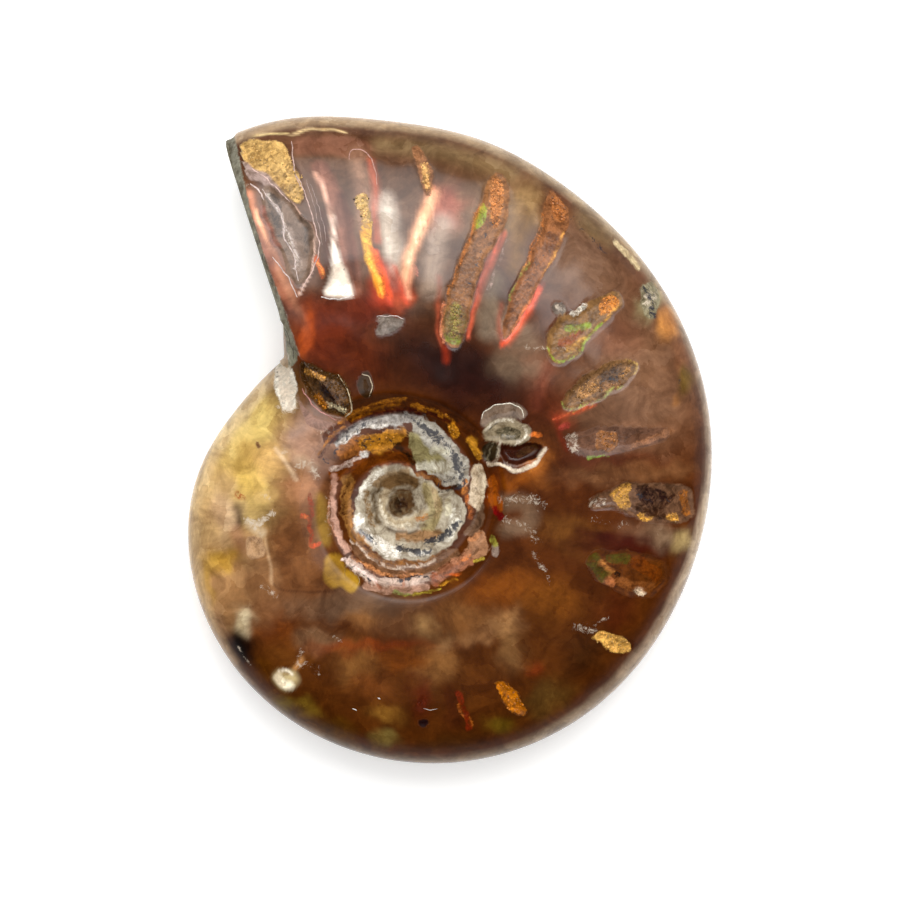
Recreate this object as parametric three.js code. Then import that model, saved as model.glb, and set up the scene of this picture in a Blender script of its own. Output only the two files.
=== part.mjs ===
// A polished ammonite fossil, one solid stone, lying on its flank. Millimetres, +Z up.
// The coil is worked out about its own axis and then centred, so that the origin is at the middle
// of the underside. Angles are in degrees, counterclockwise from +X as seen from above, and the
// growth angle runs on from turn to turn: it is 0 at the right and about 118 at the mouth.
import * as THREE from "three";
import { mergeVertices } from "three/addons/utils/BufferGeometryUtils.js";

// The coil, a logarithmic spiral
const RIM_RADIUS = 28.95; // outer radius at growth angle 0
const SEAM_RADIUS = 6.94; // radius at growth angle 0 where a turn meets the one inside it
const GROWTH = 0.1213; // growth of both radii, as a natural logarithm per radian
const RIM_TRIMS = [
  // where polishing and growth leave the rim off the spiral, as a share of its radius
  { angle: 108, width: 14, share: 0.03 }, // flare to the tip of the mouth
  { angle: 78, width: 14, share: 0.015 }, // fullness along the top
  { angle: -15, width: 30, share: -0.022 }, // flat ground into the right side
  { angle: -213, width: 22, share: -0.045 }, // waist under the mouth
];

// The flanks
const MOUTH_ANGLE = 118; // growth angle at which the two heights below are stated
const TOP = { height: 8.6, growth: 0.055 }; // from the middle plane up to the flank
const UNDER = { height: 6.9, growth: 0.02 }; // from the middle plane down to the flank
const LAPPED_LEVEL = 5.95; // the underside is ground flat this far below the middle plane
const FLANK_POWER = 2.4; // fullness of the flank on its way to the rim
const RIM_POWER = 0.52; // roundness of the rim itself
const WALL = { early: 0.2, mid: 0.13, late: 0.085 }; // its width in shares of the turn's width
const WALL_STEP = { height: 0.5, top: 0.4, next: 0.6 }; // a ledge part way up the wall
const INNER_TURNS = 3;

// The mouth: the last turn is broken off along a straight line that passes the axis
const MOUTH_LINE = { distance: 5.63, normal: 196.6 };
const MOUTH_BEVEL = 0.75; // the broken face leans out by this much under its top edge
const MOUTH_DISH = 0.5; // how far the broken face is hollowed between its walls
const MOUTH_STEP = { inner: 9.8, innerAngle: 121.7, outer: 17.9, outerAngle: 125.1 };
const STEP_SLOPE = { below: -0.7, above: 0.5 }; // the step down to the turn before
const TIP_ROUNDING = 1.2;
const WAIST_ROUNDING = 1.5;
const WAIST_LUMP = { angle: 125.5, width: 2.2, size: 1.7 }; // stone left in the corner
const RIM_INSET = 1.2; // where the flank's rows end and the rim's begin

// Unpolished furrows between the ribs: angle at the middle, lean of the outer end, radii, half width
const FURROWS = [
  { angle: 104.8, lean: 0, inner: 19.5, outer: 33.0, half: 1.5, depth: 0.5 },
  { angle: 95.8, lean: 4.5, inner: 18.8, outer: 33.6, half: 1.3, depth: 0.4 },
  { angle: 86.8, lean: 0, inner: 19.8, outer: 33.2, half: 1.15, depth: 0.4 },
  { angle: 73.8, lean: 0, inner: 15.6, outer: 32.1, half: 1.3, depth: 0.55 },
  { angle: 61.0, lean: 5, inner: 18.0, outer: 31.9, half: 1.15, depth: 0.5 },
  { angle: 43.5, lean: 0, inner: 18.6, outer: 27.8, half: 1.5, depth: 0.5 },
  { angle: 30.0, lean: -1, inner: 17.6, outer: 26.0, half: 1.35, depth: 0.5 },
  { angle: 17.0, lean: -4, inner: 17.3, outer: 25.6, half: 1.1, depth: 0.35 },
  { angle: 1.0, lean: -1.5, inner: 17.5, outer: 27.4, half: 1.7, depth: 0.5 },
  { angle: -17.0, lean: 1.5, inner: 17.8, outer: 26.4, half: 2.1, depth: 0.4 },
  { angle: -32.5, lean: 0, inner: 20.6, outer: 25.4, half: 1.05, depth: 0.35 },
  { angle: -60.5, lean: 0, inner: 18.0, outer: 23.2, half: 0.9, depth: 0.4 },
  { angle: -73.0, lean: 0, inner: 18.4, outer: 21.8, half: 0.7, depth: 0.3 },
  { angle: -84.0, lean: 1.5, inner: 17.4, outer: 21.0, half: 0.85, depth: 0.3 },
];
const UNDER_FURROWS = Array.from({ length: 12 }, (_, i) => {
  const angle = 104 - 14.5 * i;
  const rim = RIM_RADIUS * Math.exp(GROWTH * THREE.MathUtils.degToRad(angle));
  return { angle, lean: 2, inner: 0.62 * rim, outer: 0.87 * rim, half: 1.2, depth: 0.45 };
});
const RIB_HEIGHT = 0.14; // the smooth swell of the ribs between the furrows
const RIB_ZONE = { from: 0.3, to: 0.95 };
const SMOOTH_SPACING = 14; // degrees between ribs where no furrow shows
const SMOOTH_RIBS = 9;

// Chips and hollows broken or etched into the upper flank: centre, half sizes, turn and depth
const CHIPS = [
  { x: -10.9, y: 23.9, long: 5.4, wide: 1.7, turn: -73, depth: 0.55 }, // pool beside the mouth
  { x: -12.0, y: 31.4, long: 2.9, wide: 2.0, turn: -60, depth: 0.35 }, // ochre stone at the tip
  { x: 9.9, y: 6.0, long: 3.2, wide: 2.6, turn: -65, depth: 1.1 }, // hole at the navel's right
  { x: -5.2, y: 10.5, long: 2.8, wide: 1.6, turn: -43, depth: 0.7 }, // flaked hole by the mouth
  { x: -1.1, y: 17.0, long: 1.7, wide: 1.0, turn: 20, depth: 0.3 }, // frosted chip
  { x: 14.4, y: 18.1, long: 1.1, wide: 0.9, turn: 30, depth: 0.5 }, // crystal-lined hole
  { x: -10.9, y: -16.8, long: 1.4, wide: 1.2, turn: 0, depth: 0.35 }, // pale dimple
  { x: -14.5, y: -14.1, long: 1.2, wide: 1.0, turn: -60, depth: 0.3 }, // dark pit
  { x: 19.2, y: -12.3, long: 1.2, wide: 0.6, turn: 30, depth: 0.25 }, // nick by a furrow
];

// The net of the surface
const WRAP_ANGLE = 131; // where the columns start and end, under the mouth
const FURROW_HALF_ANGLE = 2.7;
const MOUTH_COLUMNS = [108, 110, 112, 113.4, 114.3, 115, 115.8, 116.8, 118, 119.4, 120.9, 122.4, 123.6];
const WAIST_COLUMNS = [124.6, 125.4, 126.4, 127.8, 129.4];
const LEAN_WIDTH = 10; // degrees either side of the step over which columns lean with it
const NAVEL_RADIUS = 10.5; // rows inside this radius are circles
const EVEN_RADII = { inner: 3, outer: 9 }; // inside these radii the columns spread out evenly
const ROWS = { navel: 14, flank: 13, rim: 6, underFlank: 8, underNavel: 5 };
const FLANK_ROW_POWER = 1.25; // crowds the rows towards the rim

const rad = THREE.MathUtils.degToRad;
const { clamp, lerp, smoothstep } = THREE.MathUtils;

function growth(angle, rate) {
  return Math.exp(rate * rad(angle));
}

function rimRadius(angle) {
  const trim = RIM_TRIMS.reduce((sum, t) => sum + t.share * bell(angle, t), 0);
  return RIM_RADIUS * growth(angle, GROWTH) * Math.exp(trim);
}

function seamRadius(angle) {
  return SEAM_RADIUS * growth(angle, GROWTH);
}

function bell(angle, { angle: middle, width }) {
  return Math.exp(-(((angle - middle) / width) ** 2));
}

// The smaller of two lengths, rounded over where they are within size of each other
function roundedMin(a, b, size) {
  const near = Math.max(size - Math.abs(a - b), 0) / size;
  return Math.min(a, b) - (near * near * size) / 4;
}

// Radius at which a ray at this angle meets the mouth's straight line
function mouthRadius(angle) {
  const cosine = Math.cos(rad(MOUTH_LINE.normal - angle));
  return cosine > 0.01 ? MOUTH_LINE.distance / cosine : Infinity;
}

// The outline from above: the rim, cut by the mouth, then the turn before
function outline(angle) {
  const rim = rimRadius(angle);
  if (angle < MOUTH_COLUMNS[0]) return rim;
  const broken = roundedMin(rim, mouthRadius(angle), TIP_ROUNDING);
  const before = rimRadius(angle - 360);
  const joined = -roundedMin(-broken, -before, WAIST_ROUNDING);
  return joined + WAIST_LUMP.size * bell(angle, WAIST_LUMP);
}

// How far inside the outline the upper flank's last row lies
function rowInset(angle, radius) {
  const broken =
    smoothstep(angle, MOUTH_COLUMNS[2], MOUTH_COLUMNS[6]) *
    (1 - smoothstep(angle, WAIST_COLUMNS[0], WRAP_ANGLE));
  const bevel = (MOUTH_BEVEL * radius) / MOUTH_LINE.distance;
  return { inset: lerp(RIM_INSET, bevel, broken), broken };
}

// The angle of the mouth's broken edge at a radius, from the tip in to the navel
function mouthAngle(radius) {
  const { inner, innerAngle, outer, outerAngle } = MOUTH_STEP;
  if (radius < outer) return lerp(innerAngle, outerAngle, clamp((radius - inner) / (outer - inner), 0, 1));
  return MOUTH_LINE.normal - THREE.MathUtils.radToDeg(Math.acos(MOUTH_LINE.distance / radius));
}

// Width of the wall round the navel: it narrows and steepens towards the mouth
function wallWidth(turn) {
  if (turn < 0) return lerp(WALL.early, WALL.mid, clamp(1 + turn / 180, 0, 1));
  return lerp(WALL.mid, WALL.late, clamp(turn / 90, 0, 1));
}

// Height of the flank of the turn that covers this place, following the coil inwards
function turnHeight(angle, radius, flank) {
  const fade = Math.exp(-2 * Math.PI * flank.growth);
  const seamAcross =
    (SEAM_RADIUS * (growth(360, GROWTH) - 1)) / (RIM_RADIUS - SEAM_RADIUS);
  const seamShare = fade * (1 - seamAcross ** FLANK_POWER) ** RIM_POWER;
  let turn = angle;
  for (let i = 0; i < INNER_TURNS && radius < seamRadius(turn); i++) turn -= 360;
  const seam = seamRadius(turn);
  const across = clamp((radius - seam) / (rimRadius(turn) - seam), 0, 1);
  const dome = (1 - across ** FLANK_POWER) ** RIM_POWER;
  const brow = wallWidth(turn);
  const wall =
    WALL_STEP.height * smoothstep(across, 0, WALL_STEP.top * brow) +
    (1 - WALL_STEP.height) * smoothstep(across, WALL_STEP.next * brow, brow);
  const full = flank.height * growth(turn - MOUTH_ANGLE, flank.growth);
  return full * dome * lerp(seamShare, 1, wall);
}

// Angles of the furrows, and of evenly spaced ribs where none shows, from the waist up to the mouth
const RIB_MARKS = [
  ...Array.from({ length: SMOOTH_RIBS }, (_, i) => -98 - SMOOTH_SPACING * (SMOOTH_RIBS - 1 - i)),
  ...FURROWS.map((f) => f.angle).reverse(),
];

// The swell of the ribs: a wave that is lowest at each mark
function ribSwell(angle, radius) {
  const next = RIB_MARKS.findIndex((mark) => mark > angle);
  if (next < 1) return 0;
  const share = (angle - RIB_MARKS[next - 1]) / (RIB_MARKS[next] - RIB_MARKS[next - 1]);
  const across = radius / rimRadius(angle);
  const zone =
    smoothstep(across, RIB_ZONE.from, RIB_ZONE.from + 0.25) *
    (1 - smoothstep(across, RIB_ZONE.to - 0.2, RIB_ZONE.to));
  return RIB_HEIGHT * Math.sin(Math.PI * share) ** 2 * zone;
}

// How deep the furrows are cut at a place
function furrowDepth(angle, radius, furrows) {
  let deepest = 0;
  for (const f of furrows) {
    const along = (radius - f.inner) / (f.outer - f.inner);
    const across = rad(angle - f.angle - f.lean * (along - 0.5)) * radius;
    const beyond = Math.max(f.inner + f.half - radius, radius - f.outer + f.half, 0);
    const share = Math.hypot(across, beyond) / f.half;
    deepest = Math.max(deepest, f.depth * (1 - smoothstep(share, 0.45, 1.05)));
  }
  return deepest;
}

// How deep the chips are broken at a place
function chipDepth(angle, radius) {
  const x = radius * Math.cos(rad(angle));
  const y = radius * Math.sin(rad(angle));
  let deepest = 0;
  for (const c of CHIPS) {
    const cos = Math.cos(rad(c.turn));
    const sin = Math.sin(rad(c.turn));
    const along = ((x - c.x) * cos + (y - c.y) * sin) / c.long;
    const across = ((y - c.y) * cos - (x - c.x) * sin) / c.wide;
    const share = Math.hypot(along, across);
    deepest = Math.max(deepest, c.depth * (1 - smoothstep(share, 0.4, 1.15)));
  }
  return deepest;
}

// Height of one flank off the middle plane, with the step at the mouth
function flankHeight(angle, radius, flank) {
  const afterMouth = angle > MOUTH_COLUMNS[0] - 8;
  let height = turnHeight(angle, radius, flank);
  if (afterMouth) {
    const offEdge = rad(mouthAngle(radius) - angle) * radius;
    const before = turnHeight(angle - 360, radius, flank);
    height = lerp(before, height, smoothstep(offEdge, STEP_SLOPE.below, STEP_SLOPE.above));
  }
  if (flank === UNDER) {
    const cut = height - furrowDepth(angle, radius, UNDER_FURROWS);
    return Math.min(cut, LAPPED_LEVEL);
  }
  const relief = ribSwell(angle, radius) - furrowDepth(angle, radius, FURROWS) - chipDepth(angle, radius);
  return Math.max(height + relief * smoothstep(height, 0, 1.5), 0);
}

// Angles of the net's columns: four to each rib, and closer together round the mouth
function columnAngles() {
  const columns = [];
  RIB_MARKS.slice(0, -1).forEach((mark, i) => {
    const next = RIB_MARKS[i + 1];
    columns.push(mark, mark + FURROW_HALF_ANGLE, (mark + next) / 2, next - FURROW_HALF_ANGLE);
  });
  const first = WRAP_ANGLE - 360;
  const waist = [first, (first + RIB_MARKS[0]) / 2];
  return [...waist, ...columns, RIB_MARKS.at(-1), ...MOUTH_COLUMNS, ...WAIST_COLUMNS];
}

const COLUMNS = columnAngles();

// Angle of a column at a radius: even inside the navel, and leaning with the step at the mouth
function columnAngle(index, radius) {
  const { outer, outerAngle } = MOUTH_STEP;
  const own = COLUMNS[index];
  const away = Math.min(Math.abs(own - outerAngle), Math.abs(own + 360 - outerAngle));
  const turned = radius < outer ? mouthAngle(radius) - outerAngle : 0;
  const lean = turned * Math.exp(-((away / LEAN_WIDTH) ** 2));
  const even = COLUMNS[0] + (360 * index) / COLUMNS.length;
  return lerp(even, own + lean, smoothstep(radius, EVEN_RADII.inner, EVEN_RADII.outer));
}

// One point of the surface for a column's angle and a row's place between the two navels
function surfacePoint(angle, row) {
  const edge = outline(angle);
  const { inset, broken } = rowInset(angle, edge);
  const lastRow = edge - inset;
  const steps = ROWS.navel + ROWS.flank;
  if (row <= steps) return [...flankRow(row, ROWS.navel, ROWS.flank, lastRow), TOP];
  const total = steps + ROWS.rim + ROWS.underFlank + ROWS.underNavel;
  const fromBelow = total - row;
  if (fromBelow <= ROWS.underNavel + ROWS.underFlank) {
    return [...flankRow(fromBelow, ROWS.underNavel, ROWS.underFlank, lastRow), UNDER];
  }
  const around = (row - steps) / ROWS.rim;
  const bulge = Math.sin(Math.PI * around);
  const dish = 1 - (MOUTH_DISH / MOUTH_BEVEL) * broken * smoothstep(bulge, 0.4, 0.9);
  const upper = around <= 0.5;
  const flat = lerp(1, Math.abs(1 - 2 * around), broken);
  return [lastRow + inset * bulge * dish, flat, upper ? TOP : UNDER];
}

// Radius of a flank's row: circles inside the navel, then spread out to the rim
function flankRow(row, navelRows, flankRows, lastRow) {
  if (row <= navelRows) return [(NAVEL_RADIUS * row) / navelRows, 1];
  const share = 1 - (1 - (row - navelRows) / flankRows) ** FLANK_ROW_POWER;
  return [lerp(NAVEL_RADIUS, lastRow, share), 1];
}

// A globe's net, its poles at the two navels, with every vertex set on the fossil's surface
function fossilGeometry() {
  const rows = Object.values(ROWS).reduce((a, b) => a + b);
  const geometry = new THREE.SphereGeometry(1, COLUMNS.length, rows);
  const { position, uv } = geometry.attributes;
  for (let i = 0; i < position.count; i++) {
    const column = Math.round(uv.getX(i) * COLUMNS.length) % COLUMNS.length;
    const row = Math.round((1 - uv.getY(i)) * rows);
    const [radius, share, flank] = surfacePoint(COLUMNS[column], row);
    const angle = row === 0 || row === rows ? 0 : columnAngle(column, radius);
    const height = share * flankHeight(angle, radius, flank);
    const z = flank === TOP ? height : -height;
    position.setXYZ(i, radius * Math.cos(rad(angle)), radius * Math.sin(rad(angle)), z);
  }
  geometry.deleteAttribute("normal");
  geometry.deleteAttribute("uv");
  const closed = mergeVertices(geometry, 1e-4);
  closed.computeBoundingBox();
  const middle = closed.boundingBox.getCenter(new THREE.Vector3());
  closed.translate(-middle.x, -middle.y, -closed.boundingBox.min.z);
  closed.computeVertexNormals();
  return closed;
}

// Calcite and brown aragonite, ground and polished to a gloss
const stone = new THREE.MeshStandardMaterial({ color: 0x6b4630, roughness: 0.18, metalness: 0 });

const ammonite = new THREE.Mesh(fossilGeometry(), stone);
ammonite.name = "ammonite";

const part = new THREE.Group();
part.add(ammonite);

export default part;
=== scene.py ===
"""A polished ammonite fossil lying on its flank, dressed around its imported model.

Sizes are in millimetres about the coil's axis, as seen from above, until a piece is put in its
place in metres. Angles run counterclockwise from +X and on from turn to turn, as the shell grew.
"""
import math

import bpy
import numpy as np
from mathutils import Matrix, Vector, noise


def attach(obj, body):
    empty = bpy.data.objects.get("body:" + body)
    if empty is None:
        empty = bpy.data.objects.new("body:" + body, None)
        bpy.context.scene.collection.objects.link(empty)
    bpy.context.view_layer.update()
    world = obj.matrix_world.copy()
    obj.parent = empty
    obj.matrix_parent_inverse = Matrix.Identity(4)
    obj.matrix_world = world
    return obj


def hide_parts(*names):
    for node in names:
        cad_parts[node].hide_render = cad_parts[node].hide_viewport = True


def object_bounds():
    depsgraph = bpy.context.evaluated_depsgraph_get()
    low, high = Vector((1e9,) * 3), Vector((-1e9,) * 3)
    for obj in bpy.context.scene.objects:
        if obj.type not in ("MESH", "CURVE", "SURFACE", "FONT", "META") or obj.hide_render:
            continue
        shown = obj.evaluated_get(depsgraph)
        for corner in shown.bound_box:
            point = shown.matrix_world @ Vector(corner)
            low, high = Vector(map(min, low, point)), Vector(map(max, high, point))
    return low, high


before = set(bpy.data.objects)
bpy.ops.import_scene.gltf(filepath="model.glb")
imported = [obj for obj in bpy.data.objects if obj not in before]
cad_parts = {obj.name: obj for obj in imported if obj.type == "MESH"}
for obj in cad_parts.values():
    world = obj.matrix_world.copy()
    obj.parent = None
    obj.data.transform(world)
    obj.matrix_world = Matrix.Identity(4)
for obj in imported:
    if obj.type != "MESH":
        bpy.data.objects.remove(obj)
cad_low, cad_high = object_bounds()
MM = 0.001

# Camera. The photo looks straight down through a long lens, so the flank shows with no slant and
# the fossil's middle lies a little above the middle of the picture.
PICTURE_WIDTH = 83.7 * MM  # what the 900 pixels of the frame span at the height of the rim
PICTURE_DROP = 0.95 * MM  # from the middle of the fossil's box down to the middle of the picture
RIM_LEVEL = 5.95 * MM  # height of the coil's middle plane
LENS = 150.0
camera_data = bpy.data.cameras.new("camera")
camera_data.lens = LENS
camera = bpy.data.objects.new("camera", camera_data)
bpy.context.scene.collection.objects.link(camera)
distance = PICTURE_WIDTH * LENS / camera_data.sensor_width
middle = (cad_low + cad_high) / 2
camera.location = (middle.x, middle.y - PICTURE_DROP, RIM_LEVEL + distance)
bpy.context.scene.camera = camera
bpy.context.scene.view_settings.view_transform = "Standard"


def colour(hexed):
    """Linear red, green and blue of an sRGB hex value."""
    channels = [int(hexed[i : i + 2], 16) / 255 for i in (1, 3, 5)]
    return [c / 12.92 if c <= 0.04045 else ((c + 0.055) / 1.055) ** 2.4 for c in channels]


def add(tree, kind, *feeds, out=0, **settings):
    """Adds a node with its settings, feeds its inputs in order, and gives one of its outputs."""
    node = tree.nodes.new(kind)
    for name, value in settings.items():
        setattr(node, name, value)
    for socket, feed in zip([s for s in node.inputs if s.enabled], feeds):
        if isinstance(feed, bpy.types.NodeSocket):
            tree.links.new(feed, socket)
        elif feed is not None:
            socket.default_value = feed
    return [s for s in node.outputs if s.enabled][out]


# Floor and light. A white table in a light tent that is open at the top, where the camera looks
# in: bright walls whiten the rim, and the dark opening leaves the polished flank its colours. The
# table glows a little, so that hardly a shadow is left round the fossil.
FLOOR_SIZE, TABLE_GLOW = 3.0, 0.3
floor_mesh = bpy.data.meshes.new("table")
half = FLOOR_SIZE / 2
corners = [(-half, -half, 0), (half, -half, 0), (half, half, 0), (-half, half, 0)]
floor_mesh.from_pydata(corners, [], [(0, 1, 2, 3)])
floor = bpy.data.objects.new("table", floor_mesh)
bpy.context.scene.collection.objects.link(floor)
paper = bpy.data.materials.new("white_acrylic")  # frosted acrylic, lit faintly from below
paper.use_nodes = True
card = paper.node_tree.nodes["Principled BSDF"]
card.inputs["Base Color"].default_value = (*colour("#f6f6f5"), 1)
card.inputs["Roughness"].default_value = 0.9
card.inputs["Specular IOR Level"].default_value = 0.1
card.inputs["Emission Color"].default_value = (1, 1, 1, 1)
card.inputs["Emission Strength"].default_value = TABLE_GLOW
floor_mesh.materials.append(paper)

TENT_WALL, TENT_TOP = 0.7, 0.04
TENT_FADE = (-0.1, 0.28)  # sines of the heights between which the wall gives way to the opening
tent = bpy.data.worlds.new("light_tent")
tent.use_nodes = True
bpy.context.scene.world = tent
sky = tent.node_tree
direction = add(sky, "ShaderNodeTexCoord", out=0)
height = add(sky, "ShaderNodeSeparateXYZ", direction, out=2)
glow = add(
    sky, "ShaderNodeMapRange", height, *TENT_FADE, TENT_WALL, TENT_TOP, interpolation_type="SMOOTHSTEP"
)
sky.links.new(glow, sky.nodes["Background"].inputs["Strength"])
sky.nodes["Background"].inputs["Color"].default_value = (1, 0.99, 0.98, 1)

SOFTBOX = {"distance": 0.6, "azimuth": 80, "elevation": 54, "width": 0.5, "height": 0.5, "power": 3.4}
softbox_data = bpy.data.lights.new("softbox", "AREA")
softbox_data.shape = "RECTANGLE"
softbox_data.size, softbox_data.size_y = SOFTBOX["width"], SOFTBOX["height"]
softbox_data.energy = SOFTBOX["power"]
softbox = bpy.data.objects.new("softbox", softbox_data)
bpy.context.scene.collection.objects.link(softbox)
azimuth, elevation = math.radians(SOFTBOX["azimuth"]), math.radians(SOFTBOX["elevation"])
flat_reach = math.cos(elevation)
towards = Vector((math.cos(azimuth) * flat_reach, math.sin(azimuth) * flat_reach, math.sin(elevation)))
softbox.location = towards * SOFTBOX["distance"]
softbox.rotation_euler = towards.to_track_quat("Z", "Y").to_euler()
# the ceiling's fill light is spread so wide that the polish shows no image of it
CEILING = {"height": 1.2, "side": 1.6, "power": 16}
ceiling_data = bpy.data.lights.new("ceiling", "AREA")
ceiling_data.size, ceiling_data.energy = CEILING["side"], CEILING["power"]
ceiling = bpy.data.objects.new("ceiling", ceiling_data)
bpy.context.scene.collection.objects.link(ceiling)
ceiling.location.z = CEILING["height"]
ceiling.visible_glossy = False

# The coil. An ammonite's shell is a cone wound in one plane, each turn wrapped part way round the
# one before, so every width grows by the same share in a turn. Mud filled the chambers and turned
# to stone with the shell. Here a flat net of its outline is raised into two flanks by that rule.
RIM_RADIUS = 28.95
GROWTH = 0.1213
RIM_TRIMS = [(108, 14, 0.03), (78, 14, 0.015), (-15, 30, -0.022), (-213, 22, -0.045)]
COIL = {
    "Seam Radius": 6.94,
    "Growth": GROWTH,
    "Top Height": 8.6,
    "Top Growth": 0.055,
    "Under Height": 6.9,
    "Under Growth": 0.02,
    "Flank Power": 3.6,
    "Rim Power": 0.47,
    "Mouth Angle": math.radians(118),
    "Early Wall": 0.2,
    "Middle Wall": 0.12,
    "Late Wall": 0.06,
    "Ledge": 0.5,
    "Seam Dome": 0.954,  # height that the turn before has where the next one meets it
}
INNER_TURNS = 3.0  # turns that show inside the navel
FOOT, SHELF = 0.4, 0.6  # shares of the wall's width where its lower step ends and its upper one starts
LAPPED_LEVEL = 5.95  # the underside is ground flat this far below the middle plane
MOUTH_DISTANCE, MOUTH_NORMAL = 5.2, 198.2  # the straight line of the mouth, from the axis
MOUTH_FACE_INSET, MOUTH_DISH = 1.0, 1.6
NECK = 11.2  # the stone left under the mouth ends at this distance to the left of the axis
MOUTH_STEP = {"inner": 9.8, "inner_angle": 121.7, "outer": 17.9, "outer_angle": 125.1}
TIP_ROUNDING, WAIST_ROUNDING, RIM_INSET = 2.0, 0.8, 1.2
WRAP_ANGLE = 131
NAVEL_RADIUS = 10.5
ROWS = {"navel": 46, "flank": 98, "rim": 12, "under_flank": 13, "under_navel": 5}
COLUMNS = {"coil": 476, "mouth": 82}
ROW_CROWDING = 1.25  # power that brings the flank's rows closer together towards the rim
MOUTH_SPAN = (108, WRAP_ANGLE)  # angles between which the columns stand closer
CUT_ANGLE = 112  # from here on the mouth's straight line cuts the outline
BROKEN_RISE, BROKEN_FALL = (113.6, 116.6), (124.6, WRAP_ANGLE)  # where the broken face starts and ends
BEFORE_MOUTH = 100  # an angle that is still safely in the last turn
LEAN_WIDTH, LEAN_RADII = 10, (3, 9)  # how far the columns' lean reaches, in degrees and in mm


def smooth(value, low, high):
    """0 up to the low value and 1 from the high one, with an even ease between."""
    share = np.clip((value - low) / (high - low), 0, 1)
    return share * share * (3 - 2 * share)


def rim_radius(angle):
    """The coil's outer spiral, with the places where it lies a little further out or in."""
    trims = sum(share * np.exp(-(((angle - middle) / width) ** 2)) for middle, width, share in RIM_TRIMS)
    return RIM_RADIUS * np.exp(GROWTH * np.radians(angle) + trims)


def rounded_min(a, b, size):
    """The smaller of two lengths, rounded off where they cross."""
    near = np.maximum(size - np.abs(a - b), 0) / size
    return np.minimum(a, b) - near * near * size / 4


def mouth_angle(radius):
    """Angle of the mouth's broken edge at a radius, from the tip in to the navel."""
    inner, outer = MOUTH_STEP["inner"], MOUTH_STEP["outer"]
    angles = (MOUTH_STEP["inner_angle"], MOUTH_STEP["outer_angle"])
    straight = MOUTH_NORMAL - np.degrees(np.arccos(MOUTH_DISTANCE / np.maximum(radius, outer)))
    return np.where(radius < outer, np.interp(radius, (inner, outer), angles), straight)


def outline_radius(angle):
    """The outline from above: the rim, cut by the mouth's straight line, then the turn before."""
    rim = rim_radius(angle)
    cosine = np.cos(np.radians(MOUTH_NORMAL - angle))
    line = np.where(cosine > 0.01, MOUTH_DISTANCE / np.maximum(cosine, 0.01), 1e3)
    broken = rounded_min(rim, line, TIP_ROUNDING)
    joined = -rounded_min(-broken, -rim_radius(angle - 360), WAIST_ROUNDING)
    neck = NECK / np.maximum(-np.cos(np.radians(angle)), 0.3)
    return np.where(angle > CUT_ANGLE, -rounded_min(-joined, -neck, WAIST_ROUNDING), rim)


angles = np.concatenate([
    np.linspace(WRAP_ANGLE - 360, MOUTH_SPAN[0], COLUMNS["coil"], endpoint=False),
    np.linspace(*MOUTH_SPAN, COLUMNS["mouth"], endpoint=False),
])
columns = len(angles)
outline = outline_radius(angles)
broken = smooth(angles, *BROKEN_RISE) * (1 - smooth(angles, *BROKEN_FALL))
inset = RIM_INSET + (MOUTH_FACE_INSET - RIM_INSET) * broken
last_row = outline - inset


def flank_rows(navel, flank):
    """Radii of a flank's rows: circles inside the navel, then spread out to the rim."""
    circles = [np.full(columns, NAVEL_RADIUS * i / navel) for i in range(1, navel + 1)]
    shares = [1 - (1 - i / flank) ** ROW_CROWDING for i in range(1, flank + 1)]
    return circles + [NAVEL_RADIUS + (last_row - NAVEL_RADIUS) * s for s in shares]


top_rows = [(r, np.ones(columns), 1) for r in flank_rows(ROWS["navel"], ROWS["flank"])]
under_rows = [(r, np.ones(columns), -1) for r in flank_rows(ROWS["under_navel"], ROWS["under_flank"])][::-1]
rim_rows = []
for i in range(1, ROWS["rim"]):
    round_rim = i / ROWS["rim"]
    bulge = math.sin(math.pi * round_rim)
    dished = bulge**0.4 - MOUTH_DISH * bulge**4
    out_to = last_row + inset * (bulge + (dished - bulge) * broken)
    height = 1 + (abs(1 - 2 * round_rim) - 1) * broken
    rim_rows.append((out_to, height, 1 if round_rim <= 0.5 else -1))
rows = top_rows + rim_rows + under_rows
net_radius = np.concatenate([[0.0], *[r for r, _, _ in rows], [0.0]])
net_share = np.concatenate([[1.0], *[s for _, s, _ in rows], [1.0]])
net_side = np.concatenate([[1], *[np.full(columns, side) for _, _, side in rows], [-1]])
net_column = np.concatenate([[0], *[np.arange(columns)] * len(rows), [0]])

# Columns spread out evenly inside the navel, and near the mouth they lean with its broken step.
own = angles[net_column]
step_angle = MOUTH_STEP["outer_angle"]
away = np.minimum(np.abs(own - step_angle), np.abs(own + 360 - step_angle))
turned = np.where(net_radius < MOUTH_STEP["outer"], mouth_angle(net_radius) - step_angle, 0)
even = angles[0] + 360 * net_column / columns
to_own = smooth(net_radius, *LEAN_RADII)
net_angle = even + (own + turned * np.exp(-((away / LEAN_WIDTH) ** 2)) - even) * to_own
past_mouth = (net_angle > mouth_angle(net_radius)) & (net_angle > BEFORE_MOUTH)
growth_angle = np.where(past_mouth, net_angle - 360, net_angle)

flat_x = net_radius * np.cos(np.radians(net_angle))
flat_y = net_radius * np.sin(np.radians(net_angle))
last = len(net_radius) - 1
first_ring, last_ring = 1, last - columns
faces = []
ring = [(c, (c + 1) % columns) for c in range(columns)]
for c, n in ring:
    faces.append((0, first_ring + c, first_ring + n))
    faces.append((last, last_ring + n, last_ring + c))
for upper in range(first_ring, last_ring, columns):
    lower = upper + columns
    faces += [(upper + c, lower + c, lower + n, upper + n) for c, n in ring]


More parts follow.
